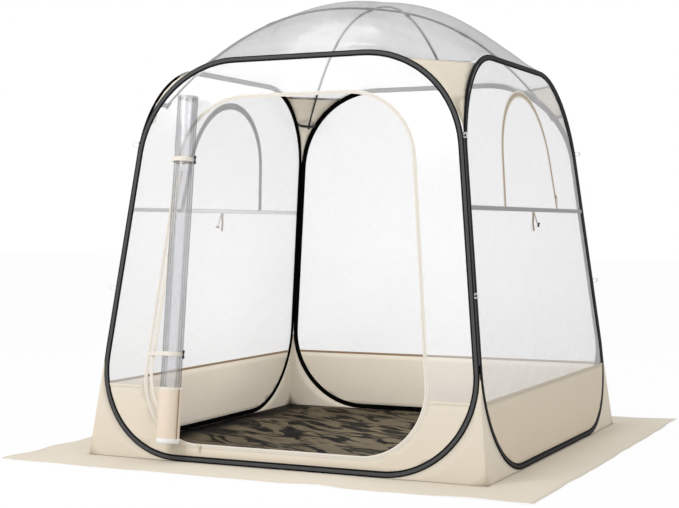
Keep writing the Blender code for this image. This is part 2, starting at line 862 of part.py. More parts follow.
def build_window(wall, frame):
    """A side window: the tape, the arched flap on it, the two halves of its zip, and the tie."""
    side = wall.name
    sill = window_sill(wall)
    face = -wall_face
    tape_mid = up_wall(wall, tape_height)
    ends = [(hoop_side(wall, level, -panel_edge), level)
            for level in (tape_mid - tape_half, tape_mid + tape_half)]
    tape = ends + [(-u, w) for u, w in reversed(ends)]
    add_piece("window_tape_" + side, plate([tape], face, face - tape_thickness), tape_look, frame)
    foot = sill + seam_gap
    fixed = arch_line(wall, zip_half_band, foot) + arch_line(wall, seam_gap, foot)[::-1]
    zip_face = face - zip_band_thickness
    add_piece("window_zip_" + side, plate([fixed], face, zip_face), cream_look, frame)
    hinge = (0.0, zip_face - flap_hinge_play, sill)
    flap = plate([arch_line(wall, -seam_gap, foot)], -half_film, half_film)
    put_origin(add_piece("window_flap_" + side, flap, film_look, frame), hinge)
    moving = arch_line(wall, -seam_gap, foot) + arch_line(wall, -zip_half_band, foot)[::-1]
    border = add_piece("window_flap_border_" + side, plate([moving], face, zip_face), cream_look, frame)
    put_origin(border, hinge)
    start = arch_line(wall, zip_half_band / 2, foot)[0]
    place = (start[0] - window_slider_rise * math.tan(arch_leg_lean), foot + window_slider_rise)
    build_slider("window_zip_slider_" + side, frame, place, zip_face, slider_half_width,
                 slider_half_length, -arch_leg_lean)
    build_window_tie(wall, frame)


def build_window_tie(wall, frame):
    """The strap and the toggle that hold the flap when it is rolled down to the tape."""
    top = up_wall(wall, tape_height) - tape_half - seam_gap
    face = -wall_face
    foot = top - strap_length * math.cos(strap_lean)
    aside = strap_length * math.sin(strap_lean)
    strap = [(-strap_half_width - aside, foot), (strap_half_width - aside, foot),
             (strap_half_width, top), (-strap_half_width, top)]
    add_piece("window_tie_" + wall.name, plate([strap], face, face - strap_thickness), leaf_look, frame)
    root = (strap_half_width + strand_offset, face - strand_thickness / 2, top)
    strand = [(-strand_half_width, -strand_length), (strand_half_width, -strand_length),
              (strand_half_width, -strand_half_width), (-strand_half_width, -strand_half_width)]
    half_strand = strand_thickness / 2
    name = "window_toggle_" + wall.name
    cord = add_piece(name, plate([strand], -half_strand, half_strand), black_look, frame)
    across = Matrix.Rotation(math.pi / 2, 4, "Y")
    stand_off = window_toggle_radius - half_strand
    barrel = turned(toggle_profile(window_toggle_length, window_toggle_radius), toggle_sides,
                    Matrix.Translation((0.0, -stand_off, -strand_length)) @ across)
    barrel_piece = add_piece(name + "_barrel_guide", barrel, black_look)
    unite(cord, barrel_piece)
    for piece in (cord, barrel_piece):
        piece.location = root
        piece.rotation_euler = (0.0, -strand_leans[wall.name], 0.0)


# The whole tent

clear_objects()
wall_frames = {}
for wall in walls:
    wall_frames[wall.name] = add_frame("wall_frame_" + wall.name, wall_matrix(wall))
    build_hoops(wall, wall_frames[wall.name])
    build_wall_panels(wall, wall_frames[wall.name])
build_ground(add_frame("ground_frame", Matrix.Rotation(-math.pi / 2, 4, "X")))
pole_lift = 2 * pole_radius + seam_gap
build_pole("roof_pole_lower", 0, 0.0)
build_pole("roof_pole_upper", 1, pole_lift)
for corner, corner_lift in enumerate((0.0, pole_lift, 0.0, pole_lift)):
    build_gussets(corner)
    build_pocket(corner, corner_lift)
    build_corner_binding(corner)
build_dome()
build_door(wall_frames["front"])
build_door_roll(wall_frames["front"])
for wall in (walls[1], walls[3]):
    build_window(wall, wall_frames[wall.name])
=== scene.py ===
# Bubble tent, seen from its front and right: clear film walls and roof on four sprung hoops.
# Metres, +Z up. The door looks along -Y, and the tent stands on the ground round the origin.
from collections import namedtuple
from math import acos, atan, atan2, ceil, copysign, cos, dist, exp, floor, pi, radians, sin, sqrt, tan

import bmesh
import bpy
from mathutils import Matrix, Vector, kdtree, noise


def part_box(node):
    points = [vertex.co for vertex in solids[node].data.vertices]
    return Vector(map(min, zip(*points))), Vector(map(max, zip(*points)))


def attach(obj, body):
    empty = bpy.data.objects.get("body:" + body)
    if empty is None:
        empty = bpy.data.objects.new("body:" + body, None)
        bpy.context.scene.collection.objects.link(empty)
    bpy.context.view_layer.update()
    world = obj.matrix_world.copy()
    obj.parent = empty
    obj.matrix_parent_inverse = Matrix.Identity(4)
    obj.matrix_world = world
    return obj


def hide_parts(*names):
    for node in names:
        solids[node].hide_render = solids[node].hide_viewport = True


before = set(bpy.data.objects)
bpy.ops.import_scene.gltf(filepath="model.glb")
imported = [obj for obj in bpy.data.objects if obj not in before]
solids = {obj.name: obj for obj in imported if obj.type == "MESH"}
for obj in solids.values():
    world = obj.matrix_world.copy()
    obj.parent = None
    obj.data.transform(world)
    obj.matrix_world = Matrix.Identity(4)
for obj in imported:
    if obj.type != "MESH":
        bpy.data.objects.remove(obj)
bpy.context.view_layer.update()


# Hoop sleeves. Each wall has one ring of spring wire in a charcoal tape, folded over it and sewn to the
# wall's edge. The wire makes a round bead along the outer edge, and the turned edges look darker.
wall_height = 1.8835
Wall = namedtuple("Wall", "name turn half_base half_roof reach_base reach_roof")
walls = [
    Wall("front", 0.0, 1.0, 0.784, 1.0475, 0.824),
    Wall("right", pi / 2, 1.0475, 0.824, 1.0, 0.784),
    Wall("back", pi, 1.0, 0.784, 1.0475, 0.824),
    Wall("left", 3 * pi / 2, 1.0475, 0.824, 1.0, 0.784),
]
hoop_inset = 0.016
hoop_foot = 0.0156
hoop_bottom_radius = 0.416
hoop_top_radius = 0.4915
corner_steps = 24
sleeve_skin = ((-14.0, 0.9), (-11.0, 2.0), (-6.0, 3.1), (0.0, 4.0), (5.0, 4.5), (8.0, 4.6), (10.5, 4.1),
               (12.6, 3.0), (13.7, 1.5))
millimetre = 0.001
sleeve_dark_across = (-8.5, 8.2)
wire_across = 0.008
# Degrees that a sleeve is turned about its wire, at the wall's two top corners and up its first leg.
sleeve_turns = {"right": (-25.0, 25.0), "left": (0.0, 10.0)}
leg_turns = {"right": -22.0}
# The turn of a wave texture over a metre, in radians, where its scale is 1.
wave_radians = 20.0


def wall_lean(wall):
    return atan2(wall.reach_base - wall.reach_roof, wall_height)


def up_wall(wall, height):
    """The distance up the leaning wall at a height above the ground."""
    return height / cos(wall_lean(wall))


def wall_slope(wall):
    return (wall.half_base - wall.half_roof) / up_wall(wall, wall_height)


def wall_place(wall):
    """Takes (along, inward, up) in a wall's own plane to its place in the tent."""
    turn = Matrix.Rotation(wall.turn, 4, "Z")
    return turn @ Matrix.Translation((0.0, -wall.reach_base, 0.0)) @ Matrix.Rotation(-wall_lean(wall), 4, "X")


def round_outline(half_at_zero, slope, low, high, low_radius, high_radius, steps=corner_steps):
    """Points (along, up) of a trapezoid with round corners, from its lower right corner round the top."""
    lean = atan(slope)
    points = []
    corners = ((low + low_radius, low_radius, -pi / 2, lean),
               (high - high_radius, high_radius, lean, pi / 2))
    for level, radius, start, end in corners:
        middle = half_at_zero - slope * level - radius / cos(lean)
        for step in range(steps + 1):
            angle = start + (end - start) * step / steps
            points.append((middle + radius * cos(angle), level + radius * sin(angle)))
    return points + [(-u, w) for u, w in reversed(points)]


def hoop_sizes(wall):
    half = wall.half_base - hoop_inset / cos(atan(wall_slope(wall)))
    high = up_wall(wall, wall_height) - hoop_inset
    return half, wall_slope(wall), hoop_foot, high, hoop_bottom_radius, hoop_top_radius


def wire_line(wall):
    """The wire's line (along, up) in a wall, and the turn of the sleeve about it at each point."""
    half, slope, foot, high, low_radius, high_radius = hoop_sizes(wall)
    half += wire_across / cos(atan(slope))
    line = round_outline(half, slope, foot - wire_across, high + wire_across, low_radius + wire_across,
                         high_radius + wire_across)
    shares = [step / corner_steps for step in range(corner_steps + 1)]
    leg = radians(leg_turns.get(wall.name, 0.0))
    first, last = [radians(turn) for turn in sleeve_turns.get(wall.name, (0.0, 0.0))]
    turns = [leg * share for share in shares]
    turns += [leg * (1 - share) + first * sin(pi * share) for share in shares]
    turns += [last * sin(pi * share) for share in shares] + [0.0] * (corner_steps + 1)
    return line, turns


def put(name, data):
    thing = bpy.data.objects.new(name, data)
    bpy.context.collection.objects.link(thing)
    return thing


def set_out(bm, name, finishes, place=None, smooth_angle=None):
    """Makes a built mesh a piece of the scene, moved by place, with its finishes in order."""
    if place is not None:
        bm.transform(place)
    mesh = bpy.data.meshes.new(name)
    bm.to_mesh(mesh)
    bm.free()
    piece = put(name, mesh)
    for finish in finishes:
        mesh.materials.append(finish)
    if smooth_angle is None:
        mesh.shade_smooth()
    else:
        bpy.ops.object.select_all(action="DESELECT")
        piece.select_set(True)
        bpy.context.view_layer.objects.active = piece
        bpy.ops.object.shade_smooth_by_angle(angle=radians(smooth_angle))
    return piece


def fit(piece, body, solid=None):
    """Gives a piece the body that it rides on, and hides the solid that it replaces."""
    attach(piece, body)
    if solid:
        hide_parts(solid)


def sweep(name, path, faces, section, finishes, closed=False, tube=True, parts=None, smooth_angle=40.0):
    """Carries a section of (across, out) points along a path. faces gives the way that each point looks.

    A tube's section is a closed ring, and otherwise it is an open strip. parts holds the finish of each side
    of the section. The UV map holds the distances along and across in metres."""
    count = len(path)
    sides = []
    for index, point in enumerate(path):
        before = point - path[index - 1]
        after = path[(index + 1) % count] - point
        if not closed and index == 0:
            before = after
        if not closed and index == count - 1:
            after = before
        left = before.cross(faces[index]).normalized()
        right = after.cross(faces[index]).normalized()
        sides.append((left + right) / (1 + left.dot(right)))
    bm = bmesh.new()
    spread = bm.loops.layers.uv.new("UVMap")
    rows = [[bm.verts.new(point + side * across + face * out) for across, out in section]
            for point, side, face in zip(path, sides, faces)]
    stops = list(range(count)) + ([0] if closed else [])
    across_at = [0.0]
    for here, there in zip(section, section[1:] + section[:1]):
        across_at.append(across_at[-1] + dist(here, there))
    run = 0.0
    strips = len(section) if tube else len(section) - 1
    for here, there in zip(stops, stops[1:]):
        length = (path[there] - path[here]).length
        for side in range(strips):
            following = (side + 1) % len(section)
            face = bm.faces.new((rows[here][side], rows[there][side], rows[there][following],
                                 rows[here][following]))
            face.material_index = parts[side] if parts else 0
            corners = ((run, side), (run + length, side), (run + length, side + 1), (run, side + 1))
            for loop, (along, edge) in zip(face.loops, corners):
                loop[spread].uv = (along, across_at[edge])
        run += length
    if tube and not closed:
        bm.faces.new(rows[0])
        bm.faces.new(rows[-1])
    if tube:
        bmesh.ops.recalc_face_normals(bm, faces=bm.faces)
    return set_out(bm, name, finishes, smooth_angle=smooth_angle)


def on_wall(wall, points, depth=0.0):
    """A path in a wall's plane and the way that it looks, which is out of the tent."""
    place = wall_place(wall)
    out = place.to_3x3() @ Vector((0.0, -1.0, 0.0))
    path = [place @ Vector((u, depth, w)) for u, w in points]
    return path, [out] * len(path)


def finish_start(name):
    material = bpy.data.materials.new(name)
    material.use_nodes = True
    return material, material.node_tree, material.node_tree.nodes["Principled BSDF"]


def feed(tree, node, values):
    """Fills a shader node's inputs, with numbers or with the outputs of other nodes."""
    for key, value in values.items():
        if isinstance(value, bpy.types.NodeSocket):
            tree.links.new(value, node.inputs[key])
        else:
            node.inputs[key].default_value = value


def add(tree, kind, values=None, out=0, **settings):
    """Adds a shader node and gives one of its outputs."""
    made = tree.nodes.new("ShaderNode" + kind)
    for key, value in settings.items():
        setattr(made, key, value)
    feed(tree, made, values or {})
    return made.outputs[out]


def tint(tree, share, first, second):
    """The first colour where share is 0, the second where it is 1."""
    values = {"Factor": share, "A": (*first, 1.0), "B": (*second, 1.0)}
    return add(tree, "Mix", values, "Result", data_type="RGBA")


def raised(tree, height, strength, distance):
    return add(tree, "Bump", {"Height": height, "Strength": strength, "Distance": distance})


def cloth(name, colour, shade, thread=0.0009, roughness=0.75, sheen=0.15, mottle=5.0, bump=0.25, shine=0.5):
    """Woven cloth: threads both ways, and a soft mottle between the colour and its shade."""
    material, tree, shader = finish_start(name)
    place = add(tree, "TexCoord", out="Object")
    patches = add(tree, "TexNoise", {"Vector": place, "Scale": mottle, "Detail": 4.0, "Roughness": 0.55})
    ribs = [add(tree, "TexWave", {"Vector": place, "Scale": 1.0 / (thread * wave_radians)}, "Fac",
                wave_type="BANDS", bands_direction=way) for way in "XYZ"]
    weave = ribs[0]
    for rib in ribs[1:]:
        weave = add(tree, "Math", {0: weave, 1: rib}, operation="ADD")
    feed(tree, shader, {"Base Color": tint(tree, patches, shade, colour),
                        "Normal": raised(tree, weave, bump, thread / 4), "Roughness": roughness,
                        "Specular IOR Level": shine, "Sheen Weight": sheen, "Sheen Roughness": 0.4})
    return material


sleeve_cloth = cloth("sleeve cloth", (0.06, 0.06, 0.062), (0.05, 0.05, 0.052), roughness=0.6, shine=0.3)
# The side walls' sleeves are the same tape as the front and back ones, painted darker: painted shade.
shaded_side_sleeve_cloth = cloth("side sleeve cloth in painted shade", (0.034, 0.034, 0.035), (0.026, 0.026, 0.027), sheen=0.02, shine=0.1)
sleeve_edge = cloth("sleeve edge", (0.01, 0.01, 0.011), (0.005, 0.005, 0.006), sheen=0.0, shine=0.05)
sleeve_back = cloth("sleeve back", (0.0035, 0.0035, 0.0035), (0.002, 0.002, 0.002), sheen=0.0, shine=0.0)
outer = [(x * millimetre - wire_across, y * millimetre) for x, y in sleeve_skin]
section = outer + [(x, -y) for x, y in reversed(outer)]
parts = []
for (start, rise), (end, _) in zip(section, section[1:] + section[:1]):
    middle = ((start + end) / 2 + wire_across) / millimetre
    plain = 0 if sleeve_dark_across[0] < middle < sleeve_dark_across[1] else 1
    parts.append(plain if rise > 0 else 2)
for wall in walls:
    line, turns = wire_line(wall)
    path, faces = on_wall(wall, line)
    for index, turn in enumerate(turns):
        ahead = path[(index + 1) % len(path)] - path[index - 1]
        outward = ahead.cross(faces[index]).normalized()
        faces[index] = faces[index] * cos(turn) + outward * sin(turn)
    # The side walls' sleeves take the darker copy of the tape, painted shade.
    front_cloth = sleeve_cloth if wall.name in ("front", "back") else shaded_side_sleeve_cloth
    sleeve = sweep("sleeve_" + wall.name, path, faces, section, [front_cloth, sleeve_edge, sleeve_back],
                   closed=True, parts=parts)
    fit(sleeve, "tent", "hoop_sleeve_" + wall.name)


# Spring wires. One closed ring of hard steel wire lies loose in each sleeve. It shows only where a sleeve is
# opened, so it keeps its solid, and gets a drawn steel finish.


def speckled(name, dark, light, scale, detail, looks, relief=None):
    """A hard finish with fine specks from dark to light. relief is their bump's strength and depth."""
    material, tree, shader = finish_start(name)
    place = add(tree, "TexCoord", out="Object")
    specks = add(tree, "TexNoise", {"Vector": place, "Scale": scale, "Detail": detail})
    feed(tree, shader, {"Base Color": tint(tree, specks, dark, light), **looks})
    if relief:
        feed(tree, shader, {"Normal": raised(tree, specks, *relief)})
    return material


def refinish(node, finish):
    """Gives a solid that stays in the scene its finish."""
    solids[node].data.materials.clear()
    solids[node].data.materials.append(finish)


steel = speckled("spring steel", (0.2, 0.21, 0.22), (0.42, 0.43, 0.44), 60.0, 3.0,
                 {"Metallic": 1.0, "Roughness": 0.3})
for wall in walls:
    refinish("hoop_wire_" + wall.name, steel)


# Film walls. Clear film is sewn into each hoop above the fabric band. It is never quite flat: shallow waves
# run through it, and it veils what stands behind it. Where a sleeve is turned, the film's edge follows it.
film_grid = 0.055
film_wave = 0.006
edge_hold = 0.16
bead_step = 0.02
edge_in = 0.0185
follow_reach = 0.06
weld_reach = 0.00002
narrowest_face = 0.0008


def skin_of(node, inverse, out_from=None):
    """The outer faces of a thin solid as one open sheet, in the frame that inverse leads to."""
    bm = bmesh.new()
    bm.from_mesh(solids[node].data)
    bmesh.ops.remove_doubles(bm, verts=bm.verts, dist=weld_reach)
    bm.transform(inverse)
    bm.normal_update()
    inner = []
    for face in bm.faces:
        if out_from is None:
            keep = face.normal.y < -0.9
        else:
            looks = face.calc_center_median() - Vector(out_from)
            shortest = min(edge.calc_length() for edge in face.edges)
            keep = face.normal.dot(looks) > 0 and shortest > narrowest_face
        if not keep:
            inner.append(face)
    bmesh.ops.delete(bm, geom=inner, context="FACES")
    return bm


def rule_grid(bm, step):
    """Joins a flat sheet's triangles and cuts it into a grid of cells."""
    bmesh.ops.dissolve_limit(bm, angle_limit=0.003, verts=bm.verts, edges=bm.edges)
    for axis in (0, 2):
        normal = Vector((0.0, 0.0, 0.0))
        normal[axis] = 1.0
        spots = [vert.co[axis] for vert in bm.verts]
        for line in range(floor(min(spots) / step), ceil(max(spots) / step) + 1):
            bmesh.ops.bisect_plane(bm, geom=bm.verts[:] + bm.edges[:] + bm.faces[:], dist=0.0005,
                                   plane_co=normal * line * step, plane_no=normal)


def nearest_of(spots):
    """A tree that finds the nearest of the spots."""
    tree = kdtree.KDTree(len(spots))
    for index, spot in enumerate(spots):
        tree.insert(spot, index)
    tree.balance()
    return tree


def eased(share):
    return share * share * (3 - 2 * share)


def free_share(bm, hold):
    """For each point, 0 at the sheet's edge to 1 where it is hold away from it."""
    rim = nearest_of([vert.co for vert in bm.verts if vert.is_boundary])
    return [eased(min(rim.find(vert.co)[2] / hold, 1.0)) for vert in bm.verts]


def area_of(bm):
    return sum(face.calc_area() for face in bm.faces)


def uneven(x, y, z):
    return noise.noise(Vector((x, y, z)))


def waved_sheet(node, name, place, finishes, step, hold, wave):
    """A solid's outer face as one sheet. wave moves each point in, given its place and how free of the seams
    it is; the seams hold the sheet as far as hold."""
    bm = skin_of(node, place.inverted())
    rule_grid(bm, step)
    flat_area = area_of(bm)
    for vert, share in zip(bm.verts, free_share(bm, hold)):
        vert.co.y += wave(vert.co, share)
    return set_out(bm, name, finishes, place), flat_area


def film(name, clear, veil, edge_veil, colour, shade, reflection_streak=0.0, streak_from=0.45, roughness=0.12,
         lie=(0.5, 0.6, 0.3), pull=(0.6, 0.6, 0.09), glint=0.04, veil_slant=(0.0, 1.0),
         tone_slant=(0.35, 0.9), waves=0.0):
    """Clear film: clear tints what is behind it, and the veil is the share that it hides, more at a slant.

    The veil's colour goes to its shade at a slant and in the streaks, which lie along a direction. glint is
    the share that mirrors the lamps. Lamps shine through the film."""
    material, tree, shader = finish_start(name)
    place = add(tree, "TexCoord", out="Object")
    stretch = add(tree, "Mapping", {"Vector": place, "Rotation": lie, "Scale": pull}, vector_type="TEXTURE")
    bands = add(tree, "TexNoise", {"Vector": stretch, "Scale": 1.0, "Detail": 4.0, "Roughness": 0.6})
    # Painted reflection: along the streaks the film is veiled more and its veil goes to its shade, standing
    # in for light and dark mirrored in its creases.
    rise = add(tree, "MapRange", {0: bands, 1: streak_from, 2: streak_from + 0.2})
    slant = add(tree, "LayerWeight", {"Blend": 0.25}, "Facing")
    grow = add(tree, "MapRange", {0: slant, 1: veil_slant[0], 2: veil_slant[1], 3: veil, 4: edge_veil})
    drift = add(tree, "MapRange", {0: rise, 3: 0.0, 4: reflection_streak})
    share = add(tree, "Math", {0: grow, 1: drift}, operation="ADD", use_clamp=True)
    turned = add(tree, "MapRange", {0: slant, 1: tone_slant[0], 2: tone_slant[1]})
    deep = add(tree, "Math", {0: rise if reflection_streak else turned, 1: turned}, operation="MAXIMUM")
    feed(tree, shader, {"Base Color": tint(tree, deep, colour, shade), "Roughness": 0.5,
                        "Specular IOR Level": 0.0})
    through = add(tree, "BsdfTransparent", {"Color": (*clear, 1.0)})
    veiled = add(tree, "MixShader", {0: share, 1: through, 2: shader.outputs[0]})
    shine = {"Color": (1.0, 1.0, 1.0, 1.0), "Roughness": roughness}
    if waves:
        swell = add(tree, "TexNoise", {"Vector": place, "Scale": 3.2, "Detail": 1.5})
        shine["Normal"] = raised(tree, swell, 1.0, waves)
    mirror = add(tree, "BsdfAnisotropic", shine)
    seen = add(tree, "MixShader", {0: glint, 1: veiled, 2: mirror})
    shadow = add(tree, "LightPath", out="Is Shadow Ray")
    lit = add(tree, "BsdfTransparent", {"Color": (0.88, 0.88, 0.88, 1.0)})
    both = add(tree, "MixShader", {0: shadow, 1: seen, 2: lit})
    tree.links.new(both, tree.nodes["Material Output"].inputs["Surface"])
    return material


# The wall films' faint light streaks are painted reflection.
wall_film = film("wall film", (0.98, 0.98, 0.985), 0.37, 0.52, (0.88, 0.88, 0.89), (0.88, 0.88, 0.89),
                 reflection_streak=0.05)
front_film = film("front wall film", (0.99, 0.99, 0.99), 0.26, 0.45, (0.88, 0.88, 0.88), (0.88, 0.88, 0.88),
                  glint=0.03)
for wall in walls:
    line, turns = wire_line(wall)
    beads = []
    for start, end, turn, next_turn in zip(line, line[1:], turns, turns[1:]):
        count = max(round(dist(start, end) / bead_step), 1)
        for step in range(count):
            share = step / count
            spot = Vector(start).lerp(Vector(end), share)
            beads.append((Vector((spot.x, 0.0, spot.y)), turn + (next_turn - turn) * share))
    hoop = nearest_of([spot for spot, turn in beads])

    def film_waves(spot, share):
        wave = uneven(spot.x * 2.6, 3.0 + wall.turn, spot.z * 1.7)
        ripple = uneven(spot.x * 7.0, 9.0 + wall.turn, spot.z * 5.0)
        index, away = hoop.find(spot)[1:]
        follow = edge_in * sin(beads[index][1]) * exp(-((away - edge_in) / follow_reach) ** 2)
        return share * film_wave * (0.7 + wave + 0.35 * ripple) - follow

    piece, flat_area = waved_sheet("wall_film_" + wall.name, "film_" + wall.name, wall_place(wall),
                                   [front_film if wall.name == "front" else wall_film], film_grid, edge_hold,
                                   film_waves)
    fit(piece, "tent", "wall_film_" + wall.name)


# Fabric bands. The foot of each wall is woven polyester, with its coating inside, sewn into the hoop and to
# the film above it. Its coated inside is painted lighter than the outside, painted light for the light that
# comes through the thin cloth, and the side walls' bands are painted darker, painted shade. A folded hem
# covers that seam outside, and a brown tape covers it inside.
band_height = 0.335
band_grid = 0.05
band_hold = 0.1
band_waves = 0.006
cloth_thickness = 0.0005
hem_half = 0.006
hem_thickness = 0.0008
hem_short = 0.016
door_half, door_slope = 0.7498, 0.1048
door_tape_half = 0.0095
band_cloth = cloth("band cloth", (0.75, 0.675, 0.56), (0.71, 0.64, 0.525), mottle=3.0)
# The side walls' bands are the same cloth as the front and back ones, painted darker and warmer: painted
# shade.
shaded_side_band = cloth("side band cloth in painted shade", (0.69, 0.6, 0.47), (0.65, 0.565, 0.44), mottle=3.0)
# The coated inside, painted lighter than the cloth outside: painted light for the light the thin cloth lets
# through.
band_coating_painted_light = cloth("band coating, painted light", (0.81, 0.735, 0.62), (0.77, 0.695, 0.58), roughness=0.55, bump=0.1)
hem_back = cloth("hem back", (0.12, 0.085, 0.05), (0.09, 0.064, 0.038))
inner_tape = cloth("inner tape", (0.33, 0.23, 0.135), (0.28, 0.19, 0.11), thread=0.0008)
hem_cloth = cloth("hem cloth", (0.56, 0.495, 0.39), (0.5, 0.44, 0.34), mottle=8.0)


def give_thickness(piece, thickness, inside=1):
    """Thickens a sheet inward; inside says how many finishes further on its back's finish is."""
    thicker = piece.modifiers.new("thickness", "SOLIDIFY")
    thicker.thickness = thickness
    thicker.offset = -1.0
    thicker.material_offset = inside
    bpy.context.view_layer.objects.active = piece
    bpy.ops.object.modifier_apply(modifier=thicker.name)


def flat(half, low, high, taper=1.0):
    """The section of a flat tape, from its back at low to its face at high."""
    return [(-half, low), (half, low), (half * taper, high), (-half * taper, high)]


for wall in walls:
    side_wall = wall.name in ("left", "right")
    # The side walls' bands take the darker copy of the cloth, painted shade.
    piece, flat_area = waved_sheet(
        "lower_band_" + wall.name, "band_" + wall.name, wall_place(wall),
        [shaded_side_band if side_wall else band_cloth, band_coating_painted_light], band_grid, band_hold, lambda spot, share:
        share * band_waves * (0.6 + uneven(spot.x * 3.5, 5.0 + wall.turn, spot.z * 4.0)))
    give_thickness(piece, cloth_thickness)
    fit(piece, "tent", "lower_band_" + wall.name)
    level = up_wall(wall, band_height)
    reach = hoop_sizes(wall)[0] - wall_slope(wall) * level - hem_short
    if wall.name == "front":
        door_side = door_half - door_slope * level + door_tape_half
        spans = ((-reach, -door_side, "_left"), (door_side, reach, "_right"))
    else:
        spans = ((-reach, reach, ""),)
    for start, end, mark in spans:
        path, faces = on_wall(wall, [(start, level), (end, level)], -cloth_thickness)
        hem = sweep("hem_" + wall.name + mark, path, faces, flat(hem_half, 0.0, hem_thickness, 0.95),
                    [band_cloth if wall.name == "front" else hem_cloth, hem_back], parts=[1, 0, 0, 0])
        fit(hem, "tent")
    if wall.name != "front":
        path, faces = on_wall(wall, [(-reach, level + 0.001), (reach, level + 0.001)], 2 * hem_thickness)
        inner_hem = sweep("inner_hem_" + wall.name, path, faces, flat(hem_half, 0.0, hem_thickness),
                          [inner_tape])
        fit(inner_hem, "tent")


# Corner gussets. The same cloth fills each corner where two hoops curve apart: below, with a sharp fold down
# its middle, and above, as a shallow hollow with a hem along the roof's edge.
corners = ("front_right", "back_right", "back_left", "front_left")
seam_reach = 0.012
edge_shift = 0.009
edge_depth = 0.006
tip_share = 0.35
tip_drop = 0.06
tip_lean = 0.012
gusset_hold = 0.03
strap_under = 0.01
roof_hem_out, roof_hem_drop, roof_hem_depth = 0.0012, 0.004, 0.0022
hollows = {"front": 0.05, "back": 0.02}


def draw_edge_in(bm, wall):
    """Moves an upper gusset's edge on a side wall inward, so that the hoop's sleeve covers it."""
    place = wall_place(wall)
    bend = up_wall(wall, wall_height) - hoop_inset - hoop_top_radius
    for vert in bm.verts:
        spot = place.inverted() @ vert.co
        if abs(spot.y) < seam_reach:
            along = copysign(hoop_sizes(wall)[0] - wall_slope(wall) * bend - hoop_top_radius, spot.x)
            inward = Vector((along - spot.x, 0.0, bend - spot.z)).normalized()
            vert.co = place @ (spot + inward * edge_shift + Vector((0.0, edge_depth - spot.y, 0.0)))


def roof_hem(bm, corner):
    """The folded hem along an upper gusset's top edge, where the roof is sewn on."""
    tops = [vert.co.copy() for vert in sorted(bm.verts, key=lambda vert: -vert.co.z)[:2]]
    out = (tops[1] - tops[0]).cross(Vector((0.0, 0.0, 1.0))).normalized()
    out = out if out.dot(tops[0]) > 0 else -out
    path = [top + out * roof_hem_out - Vector((0.0, 0.0, roof_hem_drop)) for top in tops]
    hem = sweep("gusset_hem_" + corner, path, [out] * 2, flat(hem_half, -roof_hem_depth, 0.0),
                [band_cloth, hem_back], parts=[1, 0, 0, 0])
    fit(hem, "tent")


def draw_tip(bm):
    """Draws an upper gusset's foot down to a narrow tip between the two sleeves."""
    ends = sorted(bm.verts, key=lambda vert: vert.co.z)[:2]
    centre = (ends[0].co + ends[1].co) / 2
    lower = Vector((centre.x * tip_lean, centre.y * tip_lean, -tip_drop))
    tips = [bm.verts.new(centre + (vert.co - centre) * tip_share + lower) for vert in ends]
    loop = bm.edges.get(ends).link_faces[0].loops
    ahead = next(item.link_loop_next.vert is ends[1] for item in loop if item.vert is ends[0])
    bm.faces.new((ends[1], ends[0], tips[0], tips[1]) if ahead else (ends[0], ends[1], tips[1], tips[0]))


for corner in corners:
    end = corner.split("_")[0]
    for where, cuts, middle in (("lower", 3, (0.0, 0.0, 0.9)), ("upper", 4, (0.0, 0.0, 0.6))):
        node = where + "_gusset_" + corner
        bm = skin_of(node, Matrix.Identity(4), middle)
        if where == "upper":
            if end == "front":
                draw_edge_in(bm, walls[1])
                draw_edge_in(bm, walls[3])
            roof_hem(bm, corner)
            draw_tip(bm)
        flat_area = area_of(bm)
        low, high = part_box(node)
        bmesh.ops.subdivide_edges(bm, edges=bm.edges, cuts=cuts, use_grid_fill=True)
        if where == "upper":
            strap_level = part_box("pole_pocket_" + corner)[0].z - strap_under
            for vert, share in zip(bm.verts, free_share(bm, gusset_hold)):
                depth = min(max((vert.co.z - low.z) / (strap_level - low.z), 0.0), 1.0)
                towards = Vector((-vert.co.x, -vert.co.y, 0.0)).normalized()
                vert.co += towards * share * hollows[end] * sin(pi * depth)
        piece = set_out(bm, where + "_corner_" + corner, [band_cloth, band_coating_painted_light], smooth_angle=30.0)
        give_thickness(piece, cloth_thickness)
        fit(piece, "tent", node)


# Skirt. A flap of the same cloth lies on the ground all round, mitred at its corners. It is weighted with
# stones or pegs in use, and here it lies loose, so it waves a little.
skirt_lift = 0.012
skirt_run = 0.12
skirt_grid = 0.06
laid = Matrix.Rotation(-pi / 2, 4, "X")


def skirt_waves(spot, share):
    out = max(abs(spot.x) - walls[0].half_base, abs(spot.z) - walls[0].reach_base)
    lift = max(uneven(spot.x * 4.0, 1.0, spot.z * 4.0) + 0.35, 0.0)
    return -lift * skirt_lift * min(max(out, 0.0) / skirt_run, 1.0)


skirt, flat_area = waved_sheet("ground_skirt", "skirt", laid, [band_cloth, band_coating_painted_light], skirt_grid,
                               skirt_run, skirt_waves)
give_thickness(skirt, cloth_thickness)
fit(skirt, "tent", "ground_skirt")


# Floor sheet. A thick coated groundsheet, matt, sewn in all round. It doesn't lie flat: it is full of long
# creases. Its own colour is near black. The olive swirls across it are painted reflection of the beige walls,
# and a black band along its left edge is painted shadow at the foot of the left wall.
crease_height = 0.014
floor_thickness = 0.0008
floor_grid = 0.04
floor_hold = 0.15
floor_cloth, tree, shader = finish_start("ground sheet")
place = add(tree, "TexCoord", out="Object")
slanted = add(tree, "Mapping", {"Vector": place, "Rotation": (0.0, 0.0, radians(-30.0)),
                                "Scale": (0.42, 0.13, 1.0)}, vector_type="TEXTURE")
